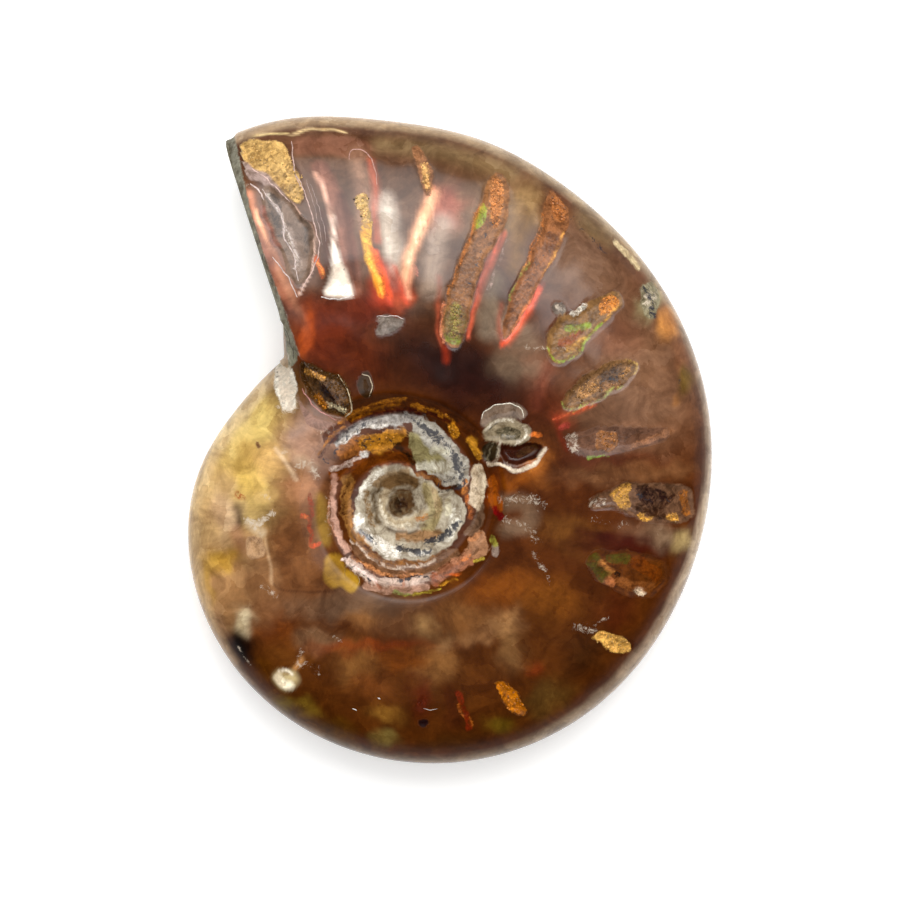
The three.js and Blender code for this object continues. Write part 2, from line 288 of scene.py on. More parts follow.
def store(mesh, name, values):
    """Keeps a number, or a colour with its alpha, at each point of a mesh."""
    kind, key = ("FLOAT", "value") if np.ndim(values) == 1 else ("FLOAT_COLOR", "color")
    kept = mesh.attributes.new(name, kind, "POINT").data
    kept.foreach_set(key, np.ravel(values).astype(np.float32))


def number_inputs(tree, sizes):
    """Gives a node tree a named number input for each of its sizes."""
    new = tree.interface.new_socket
    return {name: new(name, in_out="INPUT", socket_type="NodeSocketFloat") for name in sizes}


def make_plain(piece, tree, sockets, sizes):
    """Lets a piece's node tree work on it with these sizes, and keeps the plain mesh it makes."""
    working = piece.modifiers.new(tree.name, "NODES")
    working.node_group = tree
    for name, value in sizes.items():
        working[sockets[name].identifier] = value
    made = bpy.data.meshes.new_from_object(piece.evaluated_get(bpy.context.evaluated_depsgraph_get()))
    piece.modifiers.clear()
    piece.data = made
    made.name = piece.name


net = bpy.data.meshes.new("coil_net")
net.from_pydata(np.stack([flat_x, flat_y, np.zeros_like(flat_x)], 1).tolist(), [], faces)
store(net, "growth_angle", np.radians(growth_angle))
store(net, "radius", net_radius)
store(net, "rim_radius", np.where(past_mouth, outline[net_column], rim_radius(growth_angle)))
store(net, "side", net_side * net_share)

stone = bpy.data.materials.new("polished_calcite")  # its nodes follow the relief, below
rule = bpy.data.node_groups.new("coil_rule", "GeometryNodeTree")
rule.interface.new_socket("Net", in_out="INPUT", socket_type="NodeSocketGeometry")
sockets = number_inputs(rule, COIL)
rule.interface.new_socket("Coil", in_out="OUTPUT", socket_type="NodeSocketGeometry")
given = rule.nodes.new("NodeGroupInput").outputs
at_angle, at_radius, at_rim, at_side = [
    add(rule, "GeometryNodeInputNamedAttribute", name, data_type="FLOAT")
    for name in ("growth_angle", "radius", "rim_radius", "side")
]
# which turn covers the point: how many times the seam's spiral lies outside it
grown = add(rule, "ShaderNodeMath", at_angle, given["Growth"], operation="MULTIPLY")
grown = add(rule, "ShaderNodeMath", grown, operation="EXPONENT")
seam = add(rule, "ShaderNodeMath", grown, given["Seam Radius"], operation="MULTIPLY")
off_axis = add(rule, "ShaderNodeMath", at_radius, 0.01, operation="MAXIMUM")
beyond = add(rule, "ShaderNodeMath", seam, off_axis, operation="DIVIDE")
per_turn = add(rule, "ShaderNodeMath", given["Growth"], 2 * math.pi, operation="MULTIPLY")
turns = add(rule, "ShaderNodeMath", beyond, math.e, operation="LOGARITHM")
turns = add(rule, "ShaderNodeMath", turns, per_turn, operation="DIVIDE")
turns = add(rule, "ShaderNodeMath", turns, 1.0, operation="ADD")
turns = add(rule, "ShaderNodeMath", turns, operation="FLOOR")
turns = add(rule, "ShaderNodeClamp", turns, 0.0, INNER_TURNS)
shrunk = add(rule, "ShaderNodeMath", turns, per_turn, operation="MULTIPLY")
shrunk = add(rule, "ShaderNodeMath", shrunk, -1.0, operation="MULTIPLY")
shrunk = add(rule, "ShaderNodeMath", shrunk, operation="EXPONENT")
seam_here = add(rule, "ShaderNodeMath", seam, shrunk, operation="MULTIPLY")
rim_here = add(rule, "ShaderNodeMath", at_rim, shrunk, operation="MULTIPLY")
turn = add(rule, "ShaderNodeMath", turns, -2 * math.pi, at_angle, operation="MULTIPLY_ADD")
# how far across that turn it lies, and the dome and the stepped wall there
across = add(rule, "ShaderNodeMapRange", at_radius, seam_here, rim_here, 0.0, 1.0)
hollow = add(rule, "ShaderNodeMath", across, given["Flank Power"], operation="POWER")
dome = add(rule, "ShaderNodeMath", 1.0, hollow, operation="SUBTRACT")
dome = add(rule, "ShaderNodeMath", dome, given["Rim Power"], operation="POWER")
wall = add(rule, "ShaderNodeMapRange", turn, -math.pi, 0.0, given["Early Wall"], given["Middle Wall"])
wall = add(rule, "ShaderNodeMapRange", turn, 0.0, math.pi / 2, wall, given["Late Wall"])
foot = add(rule, "ShaderNodeMath", wall, FOOT, operation="MULTIPLY")
shelf = add(rule, "ShaderNodeMath", wall, SHELF, operation="MULTIPLY")
above = add(rule, "ShaderNodeMath", 1.0, given["Ledge"], operation="SUBTRACT")
eased = {"interpolation_type": "SMOOTHSTEP"}
lower_step = add(rule, "ShaderNodeMapRange", across, 0.0, foot, 0.0, given["Ledge"], **eased)
upper_step = add(rule, "ShaderNodeMapRange", across, shelf, wall, 0.0, above, **eased)
risen = add(rule, "ShaderNodeMath", lower_step, upper_step, operation="ADD")
# the flank's full height there, and the share of it that the wall starts from
heights = given["Under Height"], given["Top Height"]
growths = given["Under Growth"], given["Top Growth"]
full = add(rule, "ShaderNodeMapRange", at_side, -1.0, 1.0, *heights, **eased)
rate = add(rule, "ShaderNodeMapRange", at_side, -1.0, 1.0, *growths, **eased)
since_mouth = add(rule, "ShaderNodeMath", turn, given["Mouth Angle"], operation="SUBTRACT")
grown_height = add(rule, "ShaderNodeMath", since_mouth, rate, operation="MULTIPLY")
grown_height = add(rule, "ShaderNodeMath", grown_height, operation="EXPONENT")
full = add(rule, "ShaderNodeMath", full, grown_height, operation="MULTIPLY")
fade = add(rule, "ShaderNodeMath", rate, -2 * math.pi, operation="MULTIPLY")
fade = add(rule, "ShaderNodeMath", fade, operation="EXPONENT")
fade = add(rule, "ShaderNodeMath", fade, given["Seam Dome"], operation="MULTIPLY")
raised = add(rule, "ShaderNodeMapRange", risen, 0.0, 1.0, fade, 1.0)
rise = add(rule, "ShaderNodeMath", full, dome, operation="MULTIPLY")
rise = add(rule, "ShaderNodeMath", rise, raised, operation="MULTIPLY")
rise = add(rule, "ShaderNodeMath", rise, at_side, operation="MULTIPLY")
rise = add(rule, "ShaderNodeCombineXYZ", 0.0, 0.0, rise)
lifted = add(rule, "GeometryNodeSetPosition", given["Net"], True, None, rise)
lifted = add(rule, "GeometryNodeRealizeInstances", lifted)
lifted = add(rule, "GeometryNodeSetMaterial", lifted, True, stone)
rule.links.new(lifted, rule.nodes.new("NodeGroupOutput").inputs["Coil"])

fossil = bpy.data.objects.new("fossil", net)
bpy.context.scene.collection.objects.link(fossil)
make_plain(fossil, rule, sockets, COIL)
shape = fossil.data
points = np.empty(len(shape.vertices) * 3, np.float32)
shape.vertices.foreach_get("co", points)
points = points.reshape(-1, 3).astype(float)
x, y, z = points.T.copy()
on_top = (net_side > 0) & (net_share > 0.999)

# the navel's steps are weathered soft, so each point inside it takes its neighbours' mean height
WEATHERING, OWN_SHARE = 4, 0.34  # how many times it does so, and what it keeps of its own height
flank_grid = z[1 : 1 + ROWS["navel"] * columns].reshape(ROWS["navel"], columns)
for _ in range(WEATHERING):
    around = (np.roll(flank_grid, 1, 1) + np.roll(flank_grid, -1, 1)) / 2
    others = flank_grid[2:] + flank_grid[:-2] + around[1:-1]
    flank_grid[1:-1] = flank_grid[1:-1] * OWN_SHARE + others * (1 - OWN_SHARE) / 3
middle_x, middle_y = (x.min() + x.max()) / 2, (y.min() + y.max()) / 2

# Relief and colours of the ground flank. Grinding cut through the shell into its furrows and
# chambers: honey and brown calcite shows through the polish, and fire-coloured nacre at the edges.
FURROWS = {  # floors between the ribs, from the mouth round to the underside of the coil
    "third": {
        "tint": "#8f6446", "grain": 0.35, "depth": 0.1,
        "floor": [
            (0.8, 33.2), (1.5, 33.4), (2.4, 32), (3, 30.4), (2.8, 28.5), (2.1, 28.4), (1.7, 30.2),
            (1.2, 31.8),
        ],
    },
    "fourth": {
        "tint": "#835a3a", "grain": 0.4, "depth": 0.2,
        "floor": [
            (8.3, 30.6), (9.3, 31), (9.9, 30), (9.9, 28), (9.6, 26), (8.9, 24.5), (8, 23), (7.3, 21.5),
            (6.7, 19.5), (6.2, 17.5), (5.8, 15.5), (4.8, 14), (3.7, 16), (3.7, 17.5), (4.4, 20),
            (5.4, 22.8), (6.3, 25.2), (7.4, 28.2),
        ],
    },
    "fifth": {
        "tint": "#835638", "grain": 0.4, "depth": 0.2,
        "floor": [
            (13.8, 29.3), (14.6, 28.6), (15.4, 27.2), (15.5, 25.8), (14.9, 24.3), (14, 22.5),
            (13, 20.6), (12, 18.8), (10.8, 16.9), (9.7, 15.3), (9.2, 15.3), (9.4, 17), (10, 19),
            (10.7, 20.5), (11.7, 22.5), (12.7, 24.8), (13.3, 27.5),
        ],
    },
    "sixth": {
        "tint": "#7a5a38", "grain": 0.3, "depth": 0.25,
        "floor": [
            (20.3, 19.6), (20.5, 18.6), (19.6, 17.4), (18.6, 16.4), (17.5, 15.5), (16.6, 14.3),
            (15.5, 13.3), (14.4, 12.9), (13.6, 13.6), (13.4, 14.8), (13.9, 16.5), (14.5, 17.2),
            (16, 17.6), (17.2, 18.6), (18.6, 19.3), (19.6, 19.9),
        ],
    },
    "seventh": {
        "tint": "#725438", "grain": 0.5, "depth": 0.3,
        "floor": [
            (14.8, 9.3), (15.3, 8.7), (16.5, 9), (18.5, 9.9), (20.3, 10.8), (21.6, 11.8), (22.2, 12.8),
            (21.8, 13.3), (20.5, 13.4), (18.8, 12.9), (17.2, 12.2), (15.8, 11.2), (15.1, 10.2),
        ],
    },
    "eighth": {
        "tint": "#644636", "grain": 0.1, "depth": 0.12,
        "floor": [
            (15.5, 4.8), (17.5, 4.4), (20, 4.7), (22.5, 5.2), (24.5, 6), (25.2, 6.7), (24, 7.1),
            (22, 6.9), (20, 7.1), (18, 7), (16.5, 6.8), (15.6, 6.2),
        ],
    },
    "ninth": {
        "tint": "#664a38", "grain": 0.3, "depth": 0.35,
        "floor": [
            (17, 0), (18, 0.8), (19.3, 1.3), (20.5, 1.9), (22, 1.95), (24, 1.8), (26, 1.85), (27, 1.2),
            (27.3, 0), (27, -1.2), (26, -1.7), (24, -1.8), (22.5, -1.7), (21, -1), (19, -0.4),
            (17.8, -0.5),
        ],
    },
    "tenth": {
        "tint": "#58331a", "grain": 0.2, "depth": 0.15,
        "floor": [
            (17, -4.7), (19, -4.3), (22, -4.6), (24.6, -5.2), (25, -7), (23.5, -8.7), (21.5, -8.8),
            (19, -7.8), (17.3, -6.3),
        ],
    },
    "eleventh": {
        "tint": "#c89a50", "grain": 0.6, "depth": 0.35,
        "floor": [
            (17.5, -12.6), (18.2, -11.9), (19.5, -12), (20.5, -12.3), (21.2, -13), (21.3, -13.7),
            (20.3, -14), (19.2, -13.8), (18.6, -13.2),
        ],
    },
    "twelfth": {
        "tint": "#a8641f", "grain": 0.6, "depth": 0.3,
        "floor": [
            (8.6, -16.5), (9.4, -16.5), (10.6, -17.6), (11.7, -19.4), (11.4, -20), (10.6, -19.6),
            (9.4, -18.2),
        ],
    },
}
# soft clouds in the stone: x, y, half length, half width, turn, colour and how much of it shows
CLOUDS = [
    # last turn in the lower half of the photo, in the order in which they lie over each other
    (0, -14, 20, 9, 0, "#4b2e14", 1), (-5.5, -9.4, 7, 1.5, 0, "#5e483a", 0.85),
    (5.6, -10.5, 2.6, 2, 0, "#7a5434", 0.55), (-12, -11.7, 1.8, 1.4, 0, "#68381c", 0.8),
    (-10.5, -14, 2.2, 1.4, 25, "#6c4224", 0.6), (-13.2, -15.5, 1, 1.8, 35, "#5a3812", 0.8),
    (-8, -12.6, 2, 1, 0, "#7c604a", 0.5), (-4.3, -15, 2, 2, 0, "#76502e", 0.7),
    (-2.5, -13.3, 6, 0.6, 0, "#6f3413", 0.6), (0, -11.3, 3, 1.2, 0, "#6b4a34", 0.7),
    (2, -11.6, 1, 1.3, 0, "#92714c", 0.8), (-3.4, -10.6, 1.5, 1, 0, "#7d5433", 0.7),
    (3.2, -15.2, 2, 1.8, 0, "#7c5634", 0.65), (0, -14.6, 2.2, 1, 0, "#6c3c1c", 0.6),
    (4, -13, 1, 1, 0, "#8a6a4a", 0.5), (9.6, -10.9, 1.8, 1.1, 15, "#8a6442", 0.85),
    (7, -12.3, 2, 0.8, 15, "#8a6444", 0.6), (10, -13.6, 1.2, 2, 0, "#7d5c3c", 0.6),
    (9, -8, 4, 1.6, 10, "#6b3c1e", 0.7), (14, -9, 2.5, 2, 0, "#6c4020", 0.8),
    (16, -3, 4, 1.5, -15, "#6a4526", 0.7), (12.2, -15.2, 0.9, 0.7, 0, "#6a2e16", 0.5),
    (13.5, -18, 2.5, 1.5, 30, "#544228", 0.6), (17, -14, 2.5, 2, 40, "#362612", 0.8),
    (20, -10, 2, 1.6, 50, "#48280f", 0.8), (9.2, -20.8, 1.5, 1, 0, "#5a4a22", 0.7),
    (4.8, -19, 1, 2, 0, "#3c2410", 0.6), (1.8, -18, 1, 2, 0, "#4e2612", 0.7),
    (-1.5, -19.5, 1.4, 0.9, -15, "#86602f", 0.6), (-1.4, -22, 1.3, 0.9, 0, "#77683c", 0.6),
    (-8.9, -19, 1, 0.9, 0, "#77602a", 0.7), (-11, -18.6, 1.2, 1, -30, "#6a5624", 0.8),
    (-6.5, -21, 2.5, 1.2, -25, "#4f3710", 0.8), (-3, -17, 2, 1, 0, "#6b3f24", 0.6),
    (4, -22.3, 4, 0.8, 5, "#3d2a12", 0.7),
    # body chamber, from the tip of the mouth over to the right
    (-3, 27, 14, 9, -15, "#5c463a", 0.9), (8, 28, 6, 4, -30, "#6a5240", 0.8),
    (11.3, 27.5, 1.6, 2.8, -20, "#8d7252", 0.7), (17, 22, 5, 4, -50, "#6d5447", 0.9),
    (22, 12, 6, 8, 0, "#715444", 0.9), (20, 15.5, 2, 2, 0, "#6f4a3c", 0.6),
    (18, 8.5, 3, 1.5, 0, "#5e4436", 0.7), (24, 9, 2, 2, 0, "#7c5c4a", 0.6),
    (12.6, 12, 2.1, 2.2, 0, "#805848", 0.7), (22, 3.5, 3, 1, 0, "#4f2a1c", 0.7),
    (26, 14, 1, 2, 0, "#7a4f36", 0.6),
    # dark stone between the body chamber and the navel, and the fire that glows beside it
    (5, 12.4, 8, 3.5, -18, "#2c2016", 0.92), (10, 16.4, 3.5, 1.6, -32, "#7c695b", 0.75),
    (6.4, 10.8, 3, 2, 0, "#2c2016", 0.6), (10.4, 12.6, 2.2, 1.5, -20, "#6c5a4c", 0.75),
    (-7, 15.5, 4.4, 3, -35, "#622c18", 0.95), (-8.9, 15.8, 0.8, 2.4, -15, "#a84a20", 0.8),
    (-3, 18.5, 4, 2, 0, "#55261a", 0.8), (-4.5, 13.5, 3, 2, -30, "#4a2818", 0.8),
    (1.5, 18.5, 2, 1.5, 0, "#4a3a30", 0.6), (-1.5, 20, 1.2, 2, 0, "#a83a24", 0.7),
    (0.3, 19.3, 1, 1, 0, "#b84a2c", 0.6), (4, 27.5, 1.8, 2.2, -30, "#9a4f44", 0.6),
    (-11.6, 22.6, 5.5, 0.7, -69, "#b07860", 0.8),
    # honey-coloured turn at the left
    (-16, 5, 5.4, 9, 0, "#b49a66", 0.95), (-15.3, 7.5, 3.2, 3.4, -20, "#bca778", 0.75),
    (-14.6, 3, 2.4, 3, 0, "#b3934e", 0.75), (-12.8, 7.5, 2, 2.5, 0, "#b0985c", 0.7),
    (-18, -1, 1.8, 7, 5, "#b89a72", 0.85), (-16.3, -0.5, 1.3, 3, 0, "#ae907a", 0.7),
    (-12.3, 3.8, 1.8, 1.6, -40, "#b8905c", 0.7), (-8.5, 6, 3, 3, 0, "#967260", 0.85),
    (-9.6, -4, 2.8, 5, 0, "#6c472f", 0.95), (-9.3, 1.5, 2.2, 1.6, 0, "#94664a", 0.8),
    (-13.9, -3.6, 1.5, 1.6, 0, "#b08c68", 0.8), (-16.3, -8, 2.8, 3.6, 0, "#9c7654", 0.95),
    (-12.8, -9, 1.6, 3, 0, "#755038", 0.75), (-16.8, -5.4, 1.8, 0.9, 25, "#a17c33", 0.8),
    (-18.2, -7, 0.6, 2.5, 15, "#a07c3c", 0.6), (-13, -6.5, 1.3, 2.2, 0, "#8a6446", 0.75),
    (-14.9, -11, 1, 1.2, 0, "#bcae94", 0.8), (-15, -13.4, 1.2, 1.8, 25, "#241a12", 0.9),
    # right side, between the furrows
    (24, -3, 1.9, 1.2, -20, "#7f6a5a", 0.85), (26, -3.6, 0.8, 1.2, -10, "#a99368", 0.9),
    (22, -2.6, 2, 1, 0, "#6a4c3c", 0.6), (21, 2.8, 6, 0.9, 3, "#6c4a34", 0.85),
    (20, -4, 5, 0.8, -5, "#3a1c0e", 0.8), (18, 4.2, 3, 0.8, 0, "#5c3428", 0.7),
    (25.1, 17, 0.9, 1.8, -30, "#b57c48", 0.9), (23.2, 18.8, 1, 1.9, -25, "#8a8468", 0.95),
    (21.6, 23.4, 1.2, 0.6, -50, "#bc9c68", 0.9), (18, 25.6, 2.6, 1, -42, "#6d5b44", 0.7),
    (26.3, 11.6, 0.8, 1.2, 0, "#5a4a24", 0.7), (25.4, 9.8, 0.6, 0.6, 0, "#9a6a44", 0.6),
    (12.3, 3.6, 1.3, 1.8, 30, "#9a5c2c", 0.8), (10.5, 2.2, 2, 0.9, 10, "#74401f", 0.8),
    (13, 9.5, 1.8, 1.8, 0, "#562e22", 0.6), (14.8, 8, 1, 1, 0, "#8e3a24", 0.45),
    (8.5, 1, 0.9, 1.5, 0, "#843c1e", 0.8),
]


def arc(radius, start, end, across=0.0, up=0.0):
    """Points of an arc about the axis, or about a place across and up from it."""
    turns = np.radians(np.linspace(start, end, 9))
    return [(across + radius * math.cos(t), up + radius * math.sin(t)) for t in turns]


def oval(across, up, wide, high):
    """Points round an oval, from its middle and its half width and height."""
    turns = np.linspace(0, 2 * math.pi, 12, endpoint=False)
    return [(across + wide * math.cos(t), up + high * math.sin(t)) for t in turns]


# colour, grain, depth, half width of a streak or 0 for an outline, points
PLATES = [
    # tip of the mouth: sand-filled hollow, violet ledge and the pool of clear calcite
    ("#b8955c", 0.55, 0.1, 0, [
        (-15.2, 33.3), (-14, 33.9), (-11, 33.8), (-10.6, 32.5), (-9.6, 30.5), (-9, 28.9), (-9.2, 27.8),
        (-10.2, 28), (-12.5, 30), (-15.4, 32)]),
    ("#9c867d", 0, 0, 0, [
        (-15.6, 31.9), (-15, 32), (-12, 30.1), (-10.6, 28.4), (-12, 29), (-14.6, 30.4)]),
    ("#745f50", 0.05, 0.18, 0, [
        (-13, 29.6), (-11.8, 29.4), (-10.2, 28), (-9, 26.5), (-8.3, 25.5), (-8.1, 24), (-8.3, 22.2),
        (-9.2, 20.6), (-9.9, 20.3), (-10.7, 21.6), (-11.8, 24), (-12.5, 26), (-13, 27.5)]),
    ("#70645a", 0.3, 0.12, 0, [
        (-2.6, 17.2), (-1, 17.5), (0.4, 17.2), (-0.4, 16.2), (-1.5, 15.4), (-2.5, 15.6), (-2.2, 16.6)]),
    # neck under the mouth, its white crust and the flaked hole beside it
    ("#cdc6b6", 0.3, 0, 0, [
        (-12, 12.4), (-11.4, 13.1), (-10.2, 12.6), (-9.8, 10.8), (-10, 8.9), (-10.9, 8.6), (-11.4, 9.6),
        (-12.1, 11)]),
    ("#8a8874", 0.2, 0, 0, [
        (-11.9, 17.2), (-10.9, 17), (-10, 14.6), (-9.6, 13.2), (-10.6, 12.4), (-12, 12.8), (-11.9, 15)]),
    ("#8b6a5b", 0, 0, 0, [
        (-9.8, 10.5), (-9.3, 9), (-8, 8), (-6.4, 7.6), (-6, 7), (-7.5, 6.6), (-9.2, 7.6)]),
    ("#5a4028", 0.7, 0.7, 0, [
        (-9.5, 13.2), (-8.4, 13), (-7, 12.2), (-5.8, 11.9), (-4.7, 10.2), (-4.7, 8.3), (-5.5, 8),
        (-7, 8.5), (-8.6, 9.9), (-9.4, 11.5)]),
    ("#3c2c20", 0.1, 0, 0, oval(-3.4, 11, 0.75, 1.15)),
    # frost, flakes and small pits in the polish
    ("#5e5248", 0.4, 0.12, 0, [(13.8, 18.6), (14.8, 18.9), (15.3, 18), (14.8, 17.3), (13.9, 17.4)]),
    ("#807860", 0.35, 0, 0, [
        (22, 20.2), (23.2, 20.8), (24, 19.4), (23.9, 17.6), (23, 16.8), (22.2, 18)]),
    ("#c4b088", 0.1, 0, 0.25, [(19.8, 24.4), (20.8, 23.1), (21.9, 21.9)]),
    ("#8a7668", 0.1, 0, 0, [(8.2, -4), (9.1, -3.7), (9.1, -5), (8.3, -4.9)]),
    ("#a88460", 0, 0, 0, [(-14.6, -3), (-13.2, -2.9), (-12.5, -4), (-12.9, -5.2), (-14.2, -5)]),
    ("#2a160c", 0, 0.2, 0, oval(2, -20.4, 0.42, 0.4)),
    ("#6a4a30", 0, 0, 0.18, [(-13.5, 5.6), (-13.3, 5.2)]),
    # cream-lined hole between the navel and the ribs
    ("#715e4e", 0.05, 0.1, 0, [
        (7.1, 6.9), (7.4, 8.3), (8.4, 9), (9.5, 9.3), (10.7, 9.2), (11.5, 8.7), (11.4, 8), (9.8, 7.8),
        (8.4, 7.5)]),
    ("#8e8066", 0.1, 0.1, 0, [
        (7.2, 6.7), (8.1, 7.5), (9.5, 7.8), (10.9, 7.8), (12.1, 7.3), (12.3, 6.3), (11.9, 5.6),
        (10.7, 5.3), (9.3, 5.6), (7.4, 5.7)]),
    ("#3a2412", 0, 0.45, 0, [
        (9.2, 5.6), (10.7, 5.3), (11.9, 5.6), (13, 5.3), (13.2, 4.7), (12.2, 4.1), (11.2, 3.7),
        (10, 3.6), (9.3, 4.1), (9.1, 4.9)]),
    ("#3a3024", 0.1, 0.4, 0, [(7.4, 5.6), (8.9, 5.6), (9.1, 4.4), (8.4, 3.7), (7.6, 3.9)]),
    ("#d4c4ac", 0.1, -0.08, 0.16, [
        (8, 3.7), (9.2, 3.4), (10.2, 3.1), (11.4, 3.2), (12.4, 3.8), (13.3, 4.9)]),
    # navel, from its wall in to the first turns
    ("#55300f", 0.2, 0.1, 0.65, arc(9.1, 42, 138)),
    # brown band, painted as the shadow under the gold crust
    ("#6a3a18", 0.2, 0, 0.7, [(-6.2, 2.9), (-4.4, 3.3), (-2, 4), (0.4, 4)]),
    ("#b48a76", 0.1, 0, 0.3, [(-6.3, 2.6), (-6.4, 0), (-6.1, -2.6), (-5.2, -4.4)]),
    ("#8c6236", 0.15, 0, 0.4, [(-5, 2.4), (-5.4, 0.4), (-5, -2), (-4.1, -3.7)]),
    ("#70503a", 0.2, 0, 0.5, [(-4.5, -4.1), (-2.4, -5.6), (0, -6.2), (2.6, -5.9), (4.8, -4.6)]),
    ("#b8a090", 0.3, -0.05, 0.4, [(-4.8, -5.4), (-3.4, -6.8), (-1.4, -7.3), (1, -7.4), (2.8, -6.6)]),
    ("#8c5c44", 0.3, 0, 0.6, [(3.2, -6.9), (4.6, -6.2), (6, -5.4)]),
    ("#9c7864", 0.2, 0, 0.35, [(-3.4, -7.6), (-1.4, -8), (0.6, -8.1), (2.4, -7.8)]),
    ("#9c7254", 0.2, 0, 0, [(5.6, -4.9), (6.4, -3.4), (7.2, -2.4), (7.9, -3.2), (8, -4.4), (7, -5.2)]),
    ("#6c5240", 0.1, 0.15, 0.5, [(7.2, -0.5), (7, -1.8), (6.4, -2.8)]),
    ("#cbb89c", 0.2, -0.05, 0.6, [(6.9, 3), (7.1, 1.6), (6.9, 0)]),
    ("#8e4a20", 0.1, 0, 0.55, [(8.3, 2), (8.6, 0.6), (8.9, -0.4)]),
    ("#6a1818", 0, 0.1, 0.35, [(8.7, -0.8), (9.1, -1.2)]),
    ("#b07a2c", 0.5, 0, 0.4, [(6.5, 5.8), (7, 4.4)]),
    ("#97918a", 0.35, 0, 0.5, [(-5.8, 5.6), (-4.8, 6.7), (-3, 7.5), (-0.6, 7.9), (1.6, 7.8)]),
    ("#a39d90", 0.3, 0, 0, [
        (0.9, 8), (2.2, 7.7), (3.8, 6.9), (5.2, 5.4), (6.1, 3.6), (6.3, 1.4), (5.2, 1.5), (3.6, 2),
        (2.2, 2.9), (1.5, 4.4), (1.2, 6.2)]),
    ("#8a8058", 0.1, 0, 0, [
        (0.5, 6.6), (1.5, 6.6), (2.6, 5.2), (3.8, 4.2), (4.2, 3), (2.4, 2.8), (1.4, 3.6), (0.8, 4.8)]),
    ("#c9c4b0", 0.1, 0, 0.42, [(1.8, 3.5), (3, 3.5), (4.2, 3.3)]),
    ("#c0bba4", 0.1, 0, 0.3, [(3, 5), (4, 4.6)]),
    ("#8f5a30", 0.4, 0, 0, [
        (-6.2, 4.3), (-5.8, 5.6), (-4.2, 6.3), (-3.2, 5.6), (-3.2, 4.8), (-4.4, 4.2)]),
    ("#a8722c", 0.5, 0, 0, [
        (-4.1, 6.1), (-2.5, 6.4), (-1, 7.1), (0.3, 7.1), (0.3, 6), (-0.8, 5), (-2.2, 4.3), (-3.8, 4.9)]),
    ("#a89e8a", 0.1, 0, 0, [
        (-4.6, -0.4), (-4.3, 0.8), (-3.6, 2.2), (-2.4, 3.2), (-0.8, 3.7), (0.6, 3.4), (1.6, 2.6),
        (2.6, 1.9), (4.8, 1.2), (5.9, 0.4), (5.9, -1.4), (5.3, -3), (4, -4.3), (2.2, -5.2), (0, -5.4),
        (-2, -4.9), (-3.6, -3.6), (-4.5, -2)]),
    ("#93855f", 0.1, 0, 0, [
        (1.6, 2.3), (3, 1.6), (3.8, 0), (3.6, -2), (2.4, -2.9), (1.6, -2.6), (2.2, -1), (2.1, 0.8)]),
    ("#8e6e4e", 0.15, 0, 0.5, [(-0.2, -3), (1.6, -3.1), (3.2, -2.7)]),
    ("#8a7458", 0.15, 0, 0.45, [(-2.4, 2), (-1.4, 2.6), (0.4, 2.8)]),
    ("#5a4a36", 0.1, 0.06, 0.14, arc(2.75, 60, 320, 0, -0.1)),
    ("#ac9c80", 0.1, 0, 0.32, arc(2.0, 130, 335)),
    ("#6a5238", 0.1, 0, 0.6, [(-1.2, 1.9), (0, 2.2), (1.1, 1.8)]),
    ("#5a4430", 0.05, 0, 0, oval(-0.1, 0, 1.45, 1.4)),
]
for furrow in FURROWS.values():
    PLATES.append((furrow["tint"], furrow["grain"], furrow["depth"], 0, furrow["floor"]))
